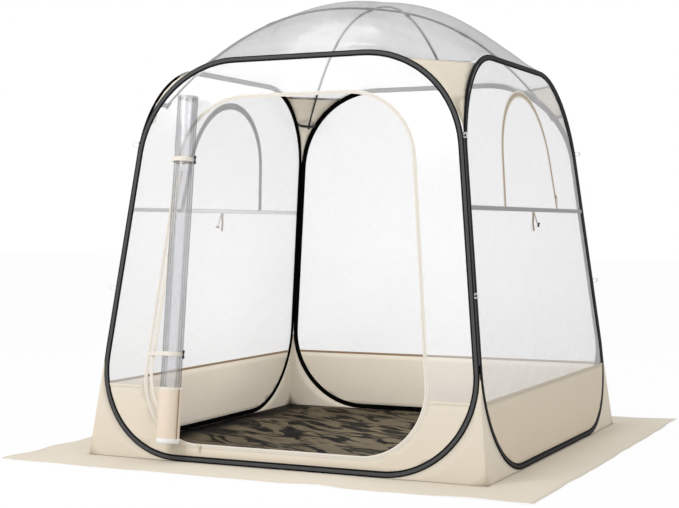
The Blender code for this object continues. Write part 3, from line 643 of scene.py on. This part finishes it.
# Painted reflection: the olive swirls stand in for the beige walls mirrored in a glossy dark sheet.
reflection_swirls = add(tree, "TexNoise", {"Vector": slanted, "Scale": 1.0, "Detail": 3.0, "Roughness": 0.55,
                                "Distortion": 1.8})
ramp = add(tree, "ValToRGB", {"Fac": reflection_swirls})
for stop, level, colour in zip(ramp.node.color_ramp.elements, (0.455, 0.525),
                               ((0.003, 0.0027, 0.0023, 1.0), (0.105, 0.084, 0.053, 1.0))):
    stop.position = level
    stop.color = colour
across = add(tree, "SeparateXYZ", {"Vector": place})
# Painted shadow: the sheet goes to black towards its left edge, at the foot of the left wall.
out_of_wall_shadow = add(tree, "MapRange", {0: across, 1: -0.89, 2: -0.77})
tone = add(tree, "Mix", {"Factor": out_of_wall_shadow, "A": (0.002, 0.002, 0.002, 1.0), "B": ramp}, "Result",
           data_type="RGBA")
grain = add(tree, "TexNoise", {"Vector": place, "Scale": 14.0, "Detail": 5.0, "Roughness": 0.6})
feed(tree, shader, {"Base Color": tone, "Roughness": 0.42, "Specular IOR Level": 0.01,
                    "Normal": raised(tree, grain, 0.35, 0.01)})


def floor_creases(spot, share):
    long = uneven(spot.x * 2.5 + spot.z, 2.0, spot.z * 5.0)
    fine = uneven(spot.x * 9.0, 4.0, spot.z * 7.0 + spot.x * 4.0)
    return -share * crease_height * max(0.4 + long + 0.5 * fine, 0.0)


floor_piece, flat_area = waved_sheet("floor_sheet", "groundsheet", laid, [floor_cloth], floor_grid,
                                     floor_hold, floor_creases)
give_thickness(floor_piece, floor_thickness, inside=0)
fit(floor_piece, "tent", "floor_sheet")


# Roof poles. Two glass fibre rods in sections, joined by black ferrules, sprung into an arch from corner to
# corner. They cross under the middle of the roof, each in a narrow channel of film.
pole_radius = 0.0052
pole_sides = 14
pole_sections = 4
ring_gap = 0.012
steps_between = 3
ferrule_size = 1.45
ferrule_metal = speckled("ferrule metal", (0.004, 0.004, 0.004), (0.012, 0.012, 0.012), 120.0, 3.0,
                         {"Roughness": 0.25})
channel_film = film("channel film", (0.96, 0.96, 0.965), 0.04, 0.4, (0.3, 0.3, 0.305), (0.2, 0.2, 0.205),
                    glint=0.08, roughness=0.2)
channel_seam = film("channel seam", (0.6, 0.6, 0.605), 0.35, 0.6, (0.16, 0.16, 0.165), (0.12, 0.12, 0.125))
rod = speckled("glass fibre rod", (0.005, 0.005, 0.0055), (0.016, 0.016, 0.017), 90.0, 2.0,
               {"Roughness": 0.22, "Coat Weight": 0.2})


def rounded_line(spots):
    """A smooth line through the spots."""
    smooth = []
    for index in range(len(spots) - 1):
        p0, p1 = spots[max(index - 1, 0)], spots[index]
        p2, p3 = spots[index + 1], spots[min(index + 2, len(spots) - 1)]
        for step in range(steps_between):
            t = step / steps_between
            smooth.append(0.5 * (2 * p1 + (p2 - p0) * t + (2 * p0 - 5 * p1 + 4 * p2 - p3) * t * t
                                 + (3 * p1 - p0 - 3 * p2 + p3) * t * t * t))
    return smooth + [spots[-1]]


pole_lines = []
for which in ("lower", "upper"):
    node = "roof_pole_" + which
    points = [vert.co.copy() for vert in solids[node].data.vertices]
    start = min(points, key=lambda point: point.x)
    end = max(points, key=lambda point: point.x)
    along = (end - start).normalized()
    along.z = 0.0
    along.normalize()
    points.sort(key=lambda point: point.dot(along))
    groups = [[points[0]]]
    for before, point in zip(points, points[1:]):
        if (point - before).dot(along) > ring_gap:
            groups.append([])
        groups[-1].append(point)
    line = rounded_line([sum(group, Vector((0.0, 0.0, 0.0))) / len(group) for group in groups])
    side = Vector((-along.y, along.x, 0.0))
    pole_lines.append((along, side, line))
    angles = [2 * pi * k / pole_sides for k in range(pole_sides)]
    ring = [(pole_radius * cos(angle), pole_radius * sin(angle)) for angle in angles]
    pole = sweep("pole_" + which, line, [side] * len(line), ring, [rod], smooth_angle=60.0)
    fit(pole, "tent", node)
    for number in range(1, pole_sections):
        middle = round((len(line) - 1) * number / pole_sections)
        span = line[max(middle - 1, 0):middle + 2]
        ferrule = sweep("ferrule_%s_%d" % (which, number), span, [side] * len(span),
                        [(y * ferrule_size, z * ferrule_size) for y, z in ring], [ferrule_metal],
                        smooth_angle=60.0)
        fit(ferrule, "tent")
    ups = [side.cross(line[min(k + 1, len(line) - 1)] - line[max(k - 1, 0)]).normalized()
           for k in range(len(line))]
    ups = [-up if up.z < 0 else up for up in ups]
    channel = sweep("pole_channel_" + which, line[3:-3], ups[3:-3],
                    [(-0.009, 0.003), (-0.0075, 0.004), (0.0, pole_radius + 0.0006), (0.0075, 0.004),
                     (0.009, 0.003)], [channel_film, channel_seam], tube=False, parts=[1, 0, 0, 1])
    fit(channel, "tent")


# Roof. One sheet of thicker clear film, heat-shaped into a dome and drawn down over the crossed poles. It is
# sewn to the hoops' tops and to the upper gussets.
ridge_cell = 0.1
ridge_reach = 0.04
seat_gap = 0.007
seat_most = 0.05
seat_reach = 0.25
crossing_reach = 0.25
crossing_run = 0.35
sag_depth = 0.02
sag_from = 0.09
sag_reach = 0.4
roof_hold = 0.07
# The roof's streaks are painted reflection.
roof_film = film("roof film", (0.885, 0.885, 0.89), 0.03, 0.7, (0.6, 0.6, 0.605), (0.36, 0.36, 0.365),
                 reflection_streak=0.04, roughness=0.19, glint=0.06, waves=0.007)
bm = skin_of("roof_dome", Matrix.Identity(4), (0.0, 0.0, 0.9))
flat_area = area_of(bm)
roof = set_out(bm, "roof", [roof_film])
rounder = roof.modifiers.new("rounder", "SUBSURF")
rounder.levels = 2
rounder.render_levels = 2
rounder.boundary_smooth = "PRESERVE_CORNERS"
bpy.context.view_layer.objects.active = roof
bpy.ops.object.modifier_apply(modifier=rounder.name)
bm = bmesh.new()
bm.from_mesh(roof.data)
ridges = []
for along, side, line in pole_lines:
    gaps = {}
    for vert in bm.verts:
        if abs(vert.co.dot(side)) < ridge_reach:
            run = vert.co.dot(along)
            nearest = min(line, key=lambda point: abs(point.dot(along) - run))
            gaps.setdefault(round(run / ridge_cell), []).append(vert.co.z - nearest.z - seat_gap)
    ridges.append((along, side, {key: sum(found) / len(found) for key, found in gaps.items()}))
for vert, share in zip(bm.verts, free_share(bm, roof_hold)):
    for along, side, gaps in ridges:
        run = vert.co.dot(along)
        here = floor(run / ridge_cell)
        low_gap, high_gap = gaps.get(here, 0.0), gaps.get(here + 1, gaps.get(here, 0.0))
        gap = low_gap + (high_gap - low_gap) * (run / ridge_cell - here)
        across = vert.co.dot(side)
        seat = share * eased(min(max((abs(run) - crossing_reach) / crossing_run, 0.0), 1.0))
        sag = sag_depth * (1 - exp(-(across / sag_from) ** 2)) * exp(-(across / sag_reach) ** 2)
        down = min(max(gap, 0.0), seat_most) * exp(-(across / seat_reach) ** 2)
        vert.co.z -= seat * (down + sag)
bm.to_mesh(roof.data)
bm.free()
fit(roof, "tent", "roof_dome")


# Pole pockets. A black webbing strap is sewn across each top corner and hangs a little in its middle, and a
# cup on it takes the pole's end.
webbing = cloth("black webbing", (0.014, 0.014, 0.014), (0.008, 0.008, 0.008), thread=0.0016, bump=0.6)
pocket_sag = 0.015
for corner in corners:
    node = "pole_pocket_" + corner
    bm = bmesh.new()
    bm.from_mesh(solids[node].data)
    bmesh.ops.remove_doubles(bm, verts=bm.verts, dist=weld_reach)
    bmesh.ops.dissolve_limit(bm, angle_limit=0.02, verts=bm.verts, edges=bm.edges)
    low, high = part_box(node)
    middle = (low + high) / 2
    reach = (high.xy - low.xy).length / 2
    for vert in bm.verts:
        away = min((vert.co.xy - middle.xy).length / reach, 1.0)
        vert.co.z -= pocket_sag * (1 - away * away)
    pocket = set_out(bm, "pocket_" + corner, [webbing], smooth_angle=35.0)
    fit(pocket, "tent", node)


# Corner tapes. Where two hoops run side by side up a corner, a narrow tape joins their sleeves, and two loops
# of pale webbing on it take the guy lines.
corner_tape = cloth("corner tape", (0.04, 0.04, 0.042), (0.025, 0.025, 0.027), thread=0.0012)
loop_webbing = cloth("loop webbing", (0.7, 0.7, 0.69), (0.62, 0.62, 0.61), thread=0.0014, bump=0.5)
tape_low = 0.5
tape_high = 1.495
tape_steps = 12
loop_heights = {"low": 0.79, "high": 1.478}
loop_radius = 0.016
loop_thickness = 0.0012
loop_steps = 24
for corner, (end, side) in zip(corners, ((1, -1), (1, 1), (-1, 1), (-1, -1))):
    foot = Vector((end * walls[0].half_base, side * walls[0].reach_base, 0.0))
    head = Vector((end * walls[0].half_roof, side * walls[0].reach_roof, wall_height))
    rise = (head - foot) / wall_height
    up = rise.normalized()
    side_out = Vector((0.0, side, 0.0)).cross(up).cross(up).normalized()
    end_out = Vector((end, 0.0, 0.0)).cross(up).cross(up).normalized()
    out = -(side_out + end_out).normalized()
    path = [foot + rise * (tape_low + (tape_high - tape_low) * step / tape_steps)
            for step in range(tape_steps + 1)]
    tape = sweep("corner_tape_" + corner, path, [out] * len(path), flat(0.004, -0.0001, 0.0009, 0.9),
                 [corner_tape])
    fit(tape, "tent", "corner_binding_" + corner)
    for mark, height in loop_heights.items():
        centre = foot + rise * height + out * (loop_radius - loop_thickness)
        ring = []
        looks = []
        for step in range(loop_steps):
            angle = 2 * pi * step / loop_steps
            radial = out * cos(angle) + up * sin(angle)
            squeeze = 1.0 - 0.25 * sin(angle) ** 2
            ring.append(centre + radial * loop_radius * squeeze)
            looks.append(radial)
        loop = sweep("guy_loop_%s_%s" % (mark, corner), ring, looks, flat(0.004, -loop_thickness, 0.0),
                     [loop_webbing], closed=True)
        fit(loop, "tent")


# Door zip. The door opening is bound with folded cream tape, and the coil zip that closes the leaf is sewn
# down its middle. Its slider waits at the sill.
door_low, door_high = 0.078, 1.693
door_radii = (0.3, 0.34)
binding_cloth = cloth("cream binding", (0.79, 0.735, 0.65), (0.74, 0.685, 0.6), thread=0.0008)


def in_mm(points):
    return [(x * millimetre, y * millimetre) for x, y in points]


def coil(name, colour, pitch=0.0016):
    """A nylon zip coil: ribs across the run of its UV map."""
    material, tree, shader = finish_start(name)
    spread = add(tree, "UVMap", uv_map="UVMap")
    teeth = add(tree, "TexWave", {"Vector": spread, "Scale": 1.0 / (pitch * wave_radians)}, "Fac",
                wave_type="BANDS", bands_direction="X")
    # The coil's colour goes darker in the dips between its ribs: painted shade in the grooves.
    feed(tree, shader, {"Base Color": tint(tree, teeth, [part * 0.72 for part in colour], colour),
                        "Normal": raised(tree, teeth, 0.8, 0.0004), "Roughness": 0.35})
    return material


cream_coil = coil("cream zip coil", (0.76, 0.72, 0.66))
front = walls[0]
outline = round_outline(door_half, door_slope, up_wall(front, door_low), up_wall(front, door_high),
                        *door_radii)
path, faces = on_wall(front, outline)
section = in_mm([(-9.0, 0.0), (-8.8, 0.7), (-2.6, 0.9), (-2.0, 1.2), (2.0, 1.2), (2.6, 0.9), (8.8, 0.7),
                 (9.0, 0.0), (8.8, -0.7), (-8.8, -0.7)])
door_zip = sweep("door_zip", path, faces, section, [binding_cloth, cream_coil], closed=True,
                 parts=[0, 0, 1, 1, 1, 0, 0, 0, 0, 0])
fit(door_zip, "tent", "door_binding")


# Rolled door leaf. The leaf is clear film above and fabric below, wound up beside the left jamb, where its
# own half of the zip still holds it. Two cream ties go round the roll, each with a black toggle.
roll_along, roll_out = -0.536, -0.0602
leaf_core = 0.022
film_radius, cloth_radius = 0.0525, 0.058
leaf_low, leaf_high = 0.082, 1.69
leaf_turns = 3
leaf_steps = 40
free_from = 1.36
seam_height = 0.338
tie_heights = {"lower": 0.49, "upper": 1.39}
sewn_in = 0.028
sewn_out = 0.004
loose_run = 0.12
tie_grip = 0.0012
tie_reach = 0.05
creased_from = 1.3
# The roll's vertical dark streaks are painted reflection in its wound layers.
leaf_film = film("leaf film", (0.97, 0.97, 0.975), 0.02, 0.46, (0.95, 0.95, 0.95), (0.2, 0.205, 0.21),
                 reflection_streak=0.6, streak_from=0.6, roughness=0.08, lie=(0.0, 0.0, 0.0), pull=(0.01, 0.01, 1.1),
                 glint=0.05, veil_slant=(0.08, 0.45), tone_slant=(0.05, 0.28))
leaf_hem = film("leaf hem", (0.9, 0.9, 0.905), 0.4, 0.6, (0.55, 0.55, 0.555), (0.2, 0.2, 0.21),
                glint=0.04, veil_slant=(0.08, 0.45), tone_slant=(0.05, 0.28))
leaf_cloth = cloth("leaf cloth", (0.775, 0.665, 0.545), (0.735, 0.625, 0.505), mottle=4.0)
white_tape = cloth("white tape", (0.86, 0.86, 0.85), (0.8, 0.8, 0.79))


def wind_leaf(name, radius, low, high, rows, finishes, crumple, edge_rows):
    """Winds a sheet from the jamb round and in to the core; edge_rows are the rows of its end hems."""
    bm = bmesh.new()
    grid = []
    count = leaf_turns * leaf_steps
    for row in range(rows + 1):
        height = low + (high - low) * row / rows
        level = up_wall(front, height)
        under = max(up_wall(front, door_low) + door_radii[0] - level, 0.0)
        jamb_along = -(door_half - door_slope * level) + sewn_in - roll_along
        jamb_along += door_radii[0] - sqrt(max(door_radii[0] ** 2 - under ** 2, 0.0))
        jamb_along = min(jamb_along, -radius * 1.05)
        sewn = Vector((jamb_along, -sewn_out - roll_out))
        start = atan2(sewn.y, sewn.x) - acos(radius / sewn.length)
        loose = min(max((height - free_from) / loose_run, 0.0), 1.0)
        sewn = sewn.lerp(Vector((-0.02, radius)), loose)
        line = [(roll_along + sewn.x, roll_out + sewn.y)]
        for step in range(count + 1):
            wound = step / count
            angle = start - 2 * pi * leaf_turns * wound
            reach = radius - (radius - leaf_core) * wound
            pinch = max(0.0, 1.0 - min(abs(height - tie) for tie in tie_heights.values()) / tie_reach)
            ripple = uneven(3.0 * cos(angle), 3.0 * sin(angle), level * 2.2)
            crease = uneven(9.0 * cos(angle), 9.0 * sin(angle), level * 14.0)
            crease *= 1.0 if height > creased_from else 0.3
            reach += crumple * (ripple - 0.3 + 0.4 * crease) - tie_grip * pinch
            line.append((roll_along + reach * cos(angle), roll_out + reach * sin(angle)))
        grid.append([bm.verts.new((u, depth, level)) for u, depth in line])
    for row, (line, above) in enumerate(zip(grid, grid[1:])):
        for step in range(len(line) - 1):
            face = bm.faces.new((line[step], line[step + 1], above[step + 1], above[step]))
            if step == 0 and len(finishes) > 3:
                face.material_index = 3
            elif row < edge_rows[0]:
                face.material_index = 1
            elif row >= rows - edge_rows[1]:
                face.material_index = 2
    area = area_of(bm)
    return set_out(bm, name, finishes, wall_place(front)), area


leaf_top, area = wind_leaf("leaf_film", film_radius, seam_height, leaf_high, 90,
                           [leaf_film, leaf_hem, leaf_hem], 0.0016, (0, 1))
fit(leaf_top, "door_roll", "door_roll_film")
leaf_finishes = [leaf_cloth, white_tape, binding_cloth, band_cloth]
leaf_foot, area = wind_leaf("leaf_cloth", cloth_radius, leaf_low, seam_height, 22, leaf_finishes, 0.001,
                            (2, 1))
give_thickness(leaf_foot, cloth_thickness, inside=0)
fit(leaf_foot, "door_roll", "door_roll_fabric")
# A narrow brown strip up the right side of the roll's cloth: painted shade on the roll's side away from the
# lamps.
edge_angle = radians(-12.0)
edge_look = Vector((cos(edge_angle), sin(edge_angle), 0.0))
path = [Vector((roll_along, roll_out, up_wall(front, height))) + edge_look * (cloth_radius + 0.0012)
        for height in (0.105, 0.22, 0.332)]
roll_side_shade_strip = sweep("roll_side_shade_strip", [wall_place(front) @ spot for spot in path],
                  [wall_place(front).to_3x3() @ edge_look] * 3, flat(0.0025, -0.0006, 0.0006), [inner_tape])
fit(roll_side_shade_strip, "door_roll")

zip_low, zip_high = 0.19, 1.37
zip_step = 0.04
jamb = round_outline(door_half - sewn_in, door_slope, up_wall(front, door_low) + sewn_in,
                     up_wall(front, door_high), *door_radii)
jamb = [(u, w) for u, w in jamb if u < 0 and up_wall(front, zip_low) < w < up_wall(front, zip_high)]
top = max(jamb, key=lambda point: point[1])
steps = [(top[0] + door_slope * zip_step * k, top[1] + zip_step * k) for k in range(23, 0, -1)]
path, faces = on_wall(front, steps + jamb, -0.0042)
leaf_zip = sweep("leaf_zip", path, faces, flat(0.008, -0.0006, 0.0006), [binding_cloth])
fit(leaf_zip, "door_roll")

black_plastic = speckled("black plastic", (0.006, 0.006, 0.006), (0.016, 0.016, 0.016), 900.0, 2.0,
                         {"Roughness": 0.32}, (0.15, 0.0002))


def turn_up(name, rings, finish, matrix):
    """A turned piece: a disc pushed up and resized through rings of (radius, height), put in place."""
    bpy.ops.object.select_all(action="DESELECT")
    bpy.ops.mesh.primitive_circle_add(vertices=barrel_sides, radius=rings[0][0], fill_type="NGON",
                                      location=(0.0, 0.0, rings[0][1]))
    piece = bpy.context.object
    piece.name = name
    piece.data.name = name
    bpy.ops.object.mode_set(mode="EDIT")
    bpy.ops.mesh.select_all(action="SELECT")
    for (before, low), (after, high) in zip(rings, rings[1:]):
        bpy.ops.mesh.extrude_region_move(TRANSFORM_OT_translate={"value": (0.0, 0.0, high - low)})
        grow = after / before
        bpy.ops.transform.resize(value=(grow, grow, 1.0), center_override=(0.0, 0.0, high))
    bpy.ops.mesh.select_all(action="SELECT")
    bpy.ops.mesh.normals_make_consistent(inside=False)
    bpy.ops.object.mode_set(mode="OBJECT")
    bpy.ops.object.shade_smooth_by_angle(angle=radians(40.0))
    piece.data.materials.append(finish)
    piece.data.transform(matrix @ piece.matrix_world)
    piece.matrix_world = Matrix.Identity(4)
    return piece


barrel_sides = 24
barrel_half = [(0.0022, 0.0), (0.0028, 0.18), (0.0041, 0.42), (0.0045, 0.62), (0.0043, 0.8), (0.0034, 0.94),
               (0.002, 1.0)]
barrel = [(radius, -share) for radius, share in barrel_half[:0:-1]] + barrel_half
tie_radius = 0.0534
toggle_out = 0.0077
tie_steps = 36
for mark, height in tie_heights.items():
    level = up_wall(front, height)
    anchor = Vector((-(door_half - door_slope * level) - roll_along, -0.003 - roll_out))
    bearing = atan2(anchor.y, anchor.x)
    half_angle = acos(tie_radius / anchor.length)
    span = 2 * pi - 2 * half_angle
    spots = [anchor]
    for step in range(tie_steps + 1):
        angle = bearing + half_angle + span * step / tie_steps
        spots.append(Vector((cos(angle), sin(angle))) * tie_radius)
    spots.append(anchor * 0.985)
    place = wall_place(front)
    path = [place @ Vector((roll_along + spot.x, roll_out + spot.y, level)) for spot in spots]
    up = place.to_3x3() @ Vector((0.0, 0.0, 1.0))
    looks = []
    for index, point in enumerate(path):
        run = path[min(index + 1, len(path) - 1)] - path[max(index - 1, 0)]
        looks.append(run.cross(up).normalized())
    tie = sweep("leaf_tie_" + mark, path, looks, flat(0.01, -0.0005, 0.0005), [binding_cloth])
    fit(tie, "door_roll", "door_tie_" + mark)
    spot = place @ Matrix.Translation((roll_along + tie_radius + toggle_out, roll_out, level))
    toggle = turn_up("leaf_toggle_" + mark, [(radius * 1.3, share * 0.02) for radius, share in barrel],
                     black_plastic, spot)
    fit(toggle, "door_roll", "door_toggle_" + mark)


# Side windows. A tape crosses each side wall, and the arched flap of film above it opens with a coil zip
# round the arch. A strap and a toggle on a short cord hold the flap when it is rolled down.
tape_height = 1.168
tape_half = 0.01
tape_out = 0.00045
arch_radius = 0.38
arch_top = 1.73
leg_lean = radians(10.0)
tape_gap = 0.0003
tape_short = 0.0145
tape_bend = 0.42
flap_waves = 0.005
flap_hold = 0.12
cord_along, cord_out = 0.013, 0.00135
strap_steps, strap_step = 10, 0.01
cord_steps = 8
strap_leans = {"right": 22.0, "left": 12.0}
cord_leans = {"right": 35.0, "left": 15.0}
cord_length = 0.074
toggle_run, toggle_off = 0.078, 0.0033
pale_tape = cloth("pale tape", (0.9, 0.9, 0.9), (0.86, 0.86, 0.86), thread=0.0008)
grey_tape = cloth("grey tape", (0.31, 0.31, 0.315), (0.27, 0.27, 0.275), thread=0.0008)
tan_tape = cloth("tan tape", (0.5, 0.42, 0.31), (0.44, 0.37, 0.27), thread=0.0008)
zip_back = cloth("zip back", (0.06, 0.06, 0.062), (0.045, 0.045, 0.047), thread=0.0008)
tape_back = cloth("tape back", (0.02, 0.02, 0.021), (0.014, 0.014, 0.015), thread=0.0008)
strap_tan = cloth("strap tan", (0.28, 0.21, 0.12), (0.23, 0.17, 0.1), thread=0.0012, bump=0.4)
tan_coil = coil("tan zip coil", (0.43, 0.35, 0.25))


def arch_outline(wall, foot, steps=36):
    """The middle line of the window's zip, from the right leg's foot over the arch to the left leg's foot."""
    level = up_wall(wall, arch_top) - arch_radius
    points = []
    for step in range(steps + 1):
        angle = leg_lean + (pi - 2 * leg_lean) * step / steps
        points.append((arch_radius * cos(angle), level + arch_radius * sin(angle)))
    drop = points[0][1] - foot
    spread = points[0][0] + drop * tan(leg_lean)
    return [(spread, foot)] + points + [(-spread, foot)]


for wall in (walls[1], walls[3]):
    side = wall.name
    flap_body = "window_flap_" + side
    place = wall_place(wall)
    middle = up_wall(wall, tape_height)
    foot = middle + tape_half + tape_gap
    reach = hoop_sizes(wall)[0] - wall_slope(wall) * middle - tape_short
    path, faces = on_wall(wall, [(-reach, middle), (tape_bend, middle), (reach, middle)], -tape_out)
    section = in_mm([(-10.0, 0.0), (-7.5, 0.0), (7.5, 0.0), (10.0, 0.0), (10.0, 0.8), (7.0, 1.0), (-7.0, 1.0),
                     (-10.0, 0.8)])
    tape = sweep("cross_tape_" + side, path, faces, section, [pale_tape, grey_tape, tape_back],
                 parts=[1, 0, 1, 1, 1, 1, 1, 1])
    if side == "left":
        for face in tape.data.polygons:
            if face.material_index == 0 and (place.inverted() @ face.center).x > tape_bend:
                face.material_index = 2
    fit(tape, "tent", "window_tape_" + side)
    path, faces = on_wall(wall, arch_outline(wall, foot), -tape_out)
    half = in_mm([(0.3, 0.0), (17.0, 0.0), (17.0, 0.7), (9.5, 0.8), (9.2, 1.5), (3.2, 1.6), (2.8, 2.4),
                  (0.3, 2.4)])
    for body, sign, name, node in (("tent", 1, "arch_zip_", "window_zip_"),
                                   (flap_body, -1, "flap_zip_", "window_flap_border_")):
        zip_half = sweep(name + side, path, faces, [(sign * x, y) for x, y in half],
                         [binding_cloth, tan_tape, tan_coil, zip_back], parts=[3, 0, 0, 1, 1, 2, 2, 2])
        fit(zip_half, body, node + side)
    flap, flat_area = waved_sheet(
        flap_body, "flap_" + side, place, [wall_film], band_grid, flap_hold, lambda spot, share:
        share * flap_waves * (0.5 + uneven(spot.x * 4.0, 6.0 + wall.turn, spot.z * 3.0)))
    fit(flap, flap_body, flap_body)

    top = middle - tape_half - tape_gap
    out = faces[0]
    lean = radians(strap_leans[side])
    run = Vector((-sin(lean), 0.0, -cos(lean)))
    path = []
    for step in range(strap_steps + 1):
        curl = 0.001 + 0.0012 * sin(step * 0.9) + 0.0004 * step
        path.append(place @ (Vector((0.0, -curl, top)) + run * strap_step * step))
    strap = sweep("flap_strap_" + side, path, [out] * len(path), flat(0.0105, -0.0005, 0.0005), [strap_tan])
    fit(strap, "tent", "window_tie_" + side)
    lean = radians(cord_leans[side])
    run = Vector((sin(lean), 0.0, -cos(lean)))
    root = Vector((cord_along, -cord_out, top - 0.003))
    path = [place @ (root + run * cord_length * step / cord_steps) for step in range(cord_steps + 1)]
    string = sweep("toggle_cord_" + side, path, [out] * len(path), flat(0.003, -0.0009, 0.0009), [strap_tan])
    toggle_body = "window_toggle_" + side
    fit(string, toggle_body, toggle_body)
    spot = place @ Matrix.Translation(Vector((cord_along, -cord_out - toggle_off, top)) + run * toggle_run)
    spot = spot @ Matrix.Rotation(pi / 2 - lean, 4, "Y")
    toggle = turn_up("flap_toggle_" + side, [(radius * 1.15, share * 0.015) for radius, share in barrel],
                     black_plastic, spot)
    fit(toggle, toggle_body)


# Zip sliders. Cast bodies with a bridge and a pull tab, lacquered in the tapes' colour, one on the door's zip
# and one on each window's.
lacquer = speckled("slider lacquer", (0.58, 0.49, 0.36), (0.68, 0.6, 0.47), 700.0, 2.0, {"Roughness": 0.35})
for node in ("door_zip_slider", "window_zip_slider_right", "window_zip_slider_left"):
    refinish(node, lacquer)


# Light and camera. The tent stands on a plain white ground in an even studio light, and the camera looks at
# it from the front right, about a metre above the ground.
ground_glow = 0.93
room_light = 0.75


def seen_directly(tree):
    """1 for rays from the camera, from a mirroring face or through film, and 0 for the rest."""
    seen = add(tree, "LightPath", out="Is Camera Ray")
    rays = seen.node.outputs
    for kind in ("Is Glossy Ray", "Is Transmission Ray"):
        seen = add(tree, "Math", {0: seen, 1: rays[kind]}, operation="MAXIMUM")
    return seen


white, tree, shader = finish_start("studio white")
feed(tree, shader, {"Base Color": (0.92, 0.92, 0.92, 1.0), "Roughness": 0.9})
bright = add(tree, "Emission", {"Color": (1.0, 1.0, 1.0, 1.0), "Strength": 1.0})
part_of = add(tree, "Math", {0: seen_directly(tree), 1: ground_glow}, operation="MULTIPLY")
both = add(tree, "MixShader", {0: part_of, 1: shader.outputs[0], 2: bright})
tree.links.new(both, tree.nodes["Material Output"].inputs["Surface"])
bm = bmesh.new()
bmesh.ops.create_grid(bm, x_segments=2, y_segments=2, size=40.0)
ground = set_out(bm, "studio ground", [white], Matrix.Translation((0.0, 0.0, -0.0005)))

world = bpy.data.worlds.new("studio")
world.use_nodes = True
bpy.context.scene.world = world
tree = world.node_tree
strength = add(tree, "MapRange", {0: seen_directly(tree), 3: room_light, 4: 1.0})
feed(tree, tree.nodes["Background"], {"Color": (1.0, 1.0, 1.0, 1.0), "Strength": strength})

lamps = (
    ("lamp over the front left", (-2.2, -5.6, 4.6), (3.2, 3.2), 165.0),
    ("lamp over the right", (4.8, -1.6, 3.6), (2.4, 2.4), 20.0),
    ("lamp over the roof", (-1.5, 1.2, 6.2), (2.3, 0.8), 26.0),
)
for name, spot, size, power in lamps:
    light = bpy.data.lights.new(name, "AREA")
    light.shape = "RECTANGLE"
    light.size, light.size_y = size
    light.energy = power
    lamp = put(name, light)
    lamp.location = spot
    lamp.rotation_euler = (Vector((0.0, 0.0, 1.0)) - Vector(spot)).to_track_quat("-Z", "Y").to_euler()
fill = bpy.data.lights.new("fill in the tent", "POINT")
fill.shadow_soft_size = 0.45
fill.energy = 19.0
lamp = put("fill in the tent", fill)
lamp.location = (0.0, 0.0, 0.5)
lamp.visible_glossy = False
lamp.visible_camera = False

lens = bpy.data.cameras.new("camera")
lens.sensor_width = 36.0
lens.lens = 74.73
camera = put("camera", lens)
camera.location = (2.927, -6.615, 1.084)
camera.rotation_euler = (radians(88.903), 0.0, radians(25.106))
bpy.context.scene.camera = camera
bpy.context.scene.view_settings.view_transform = "Standard"
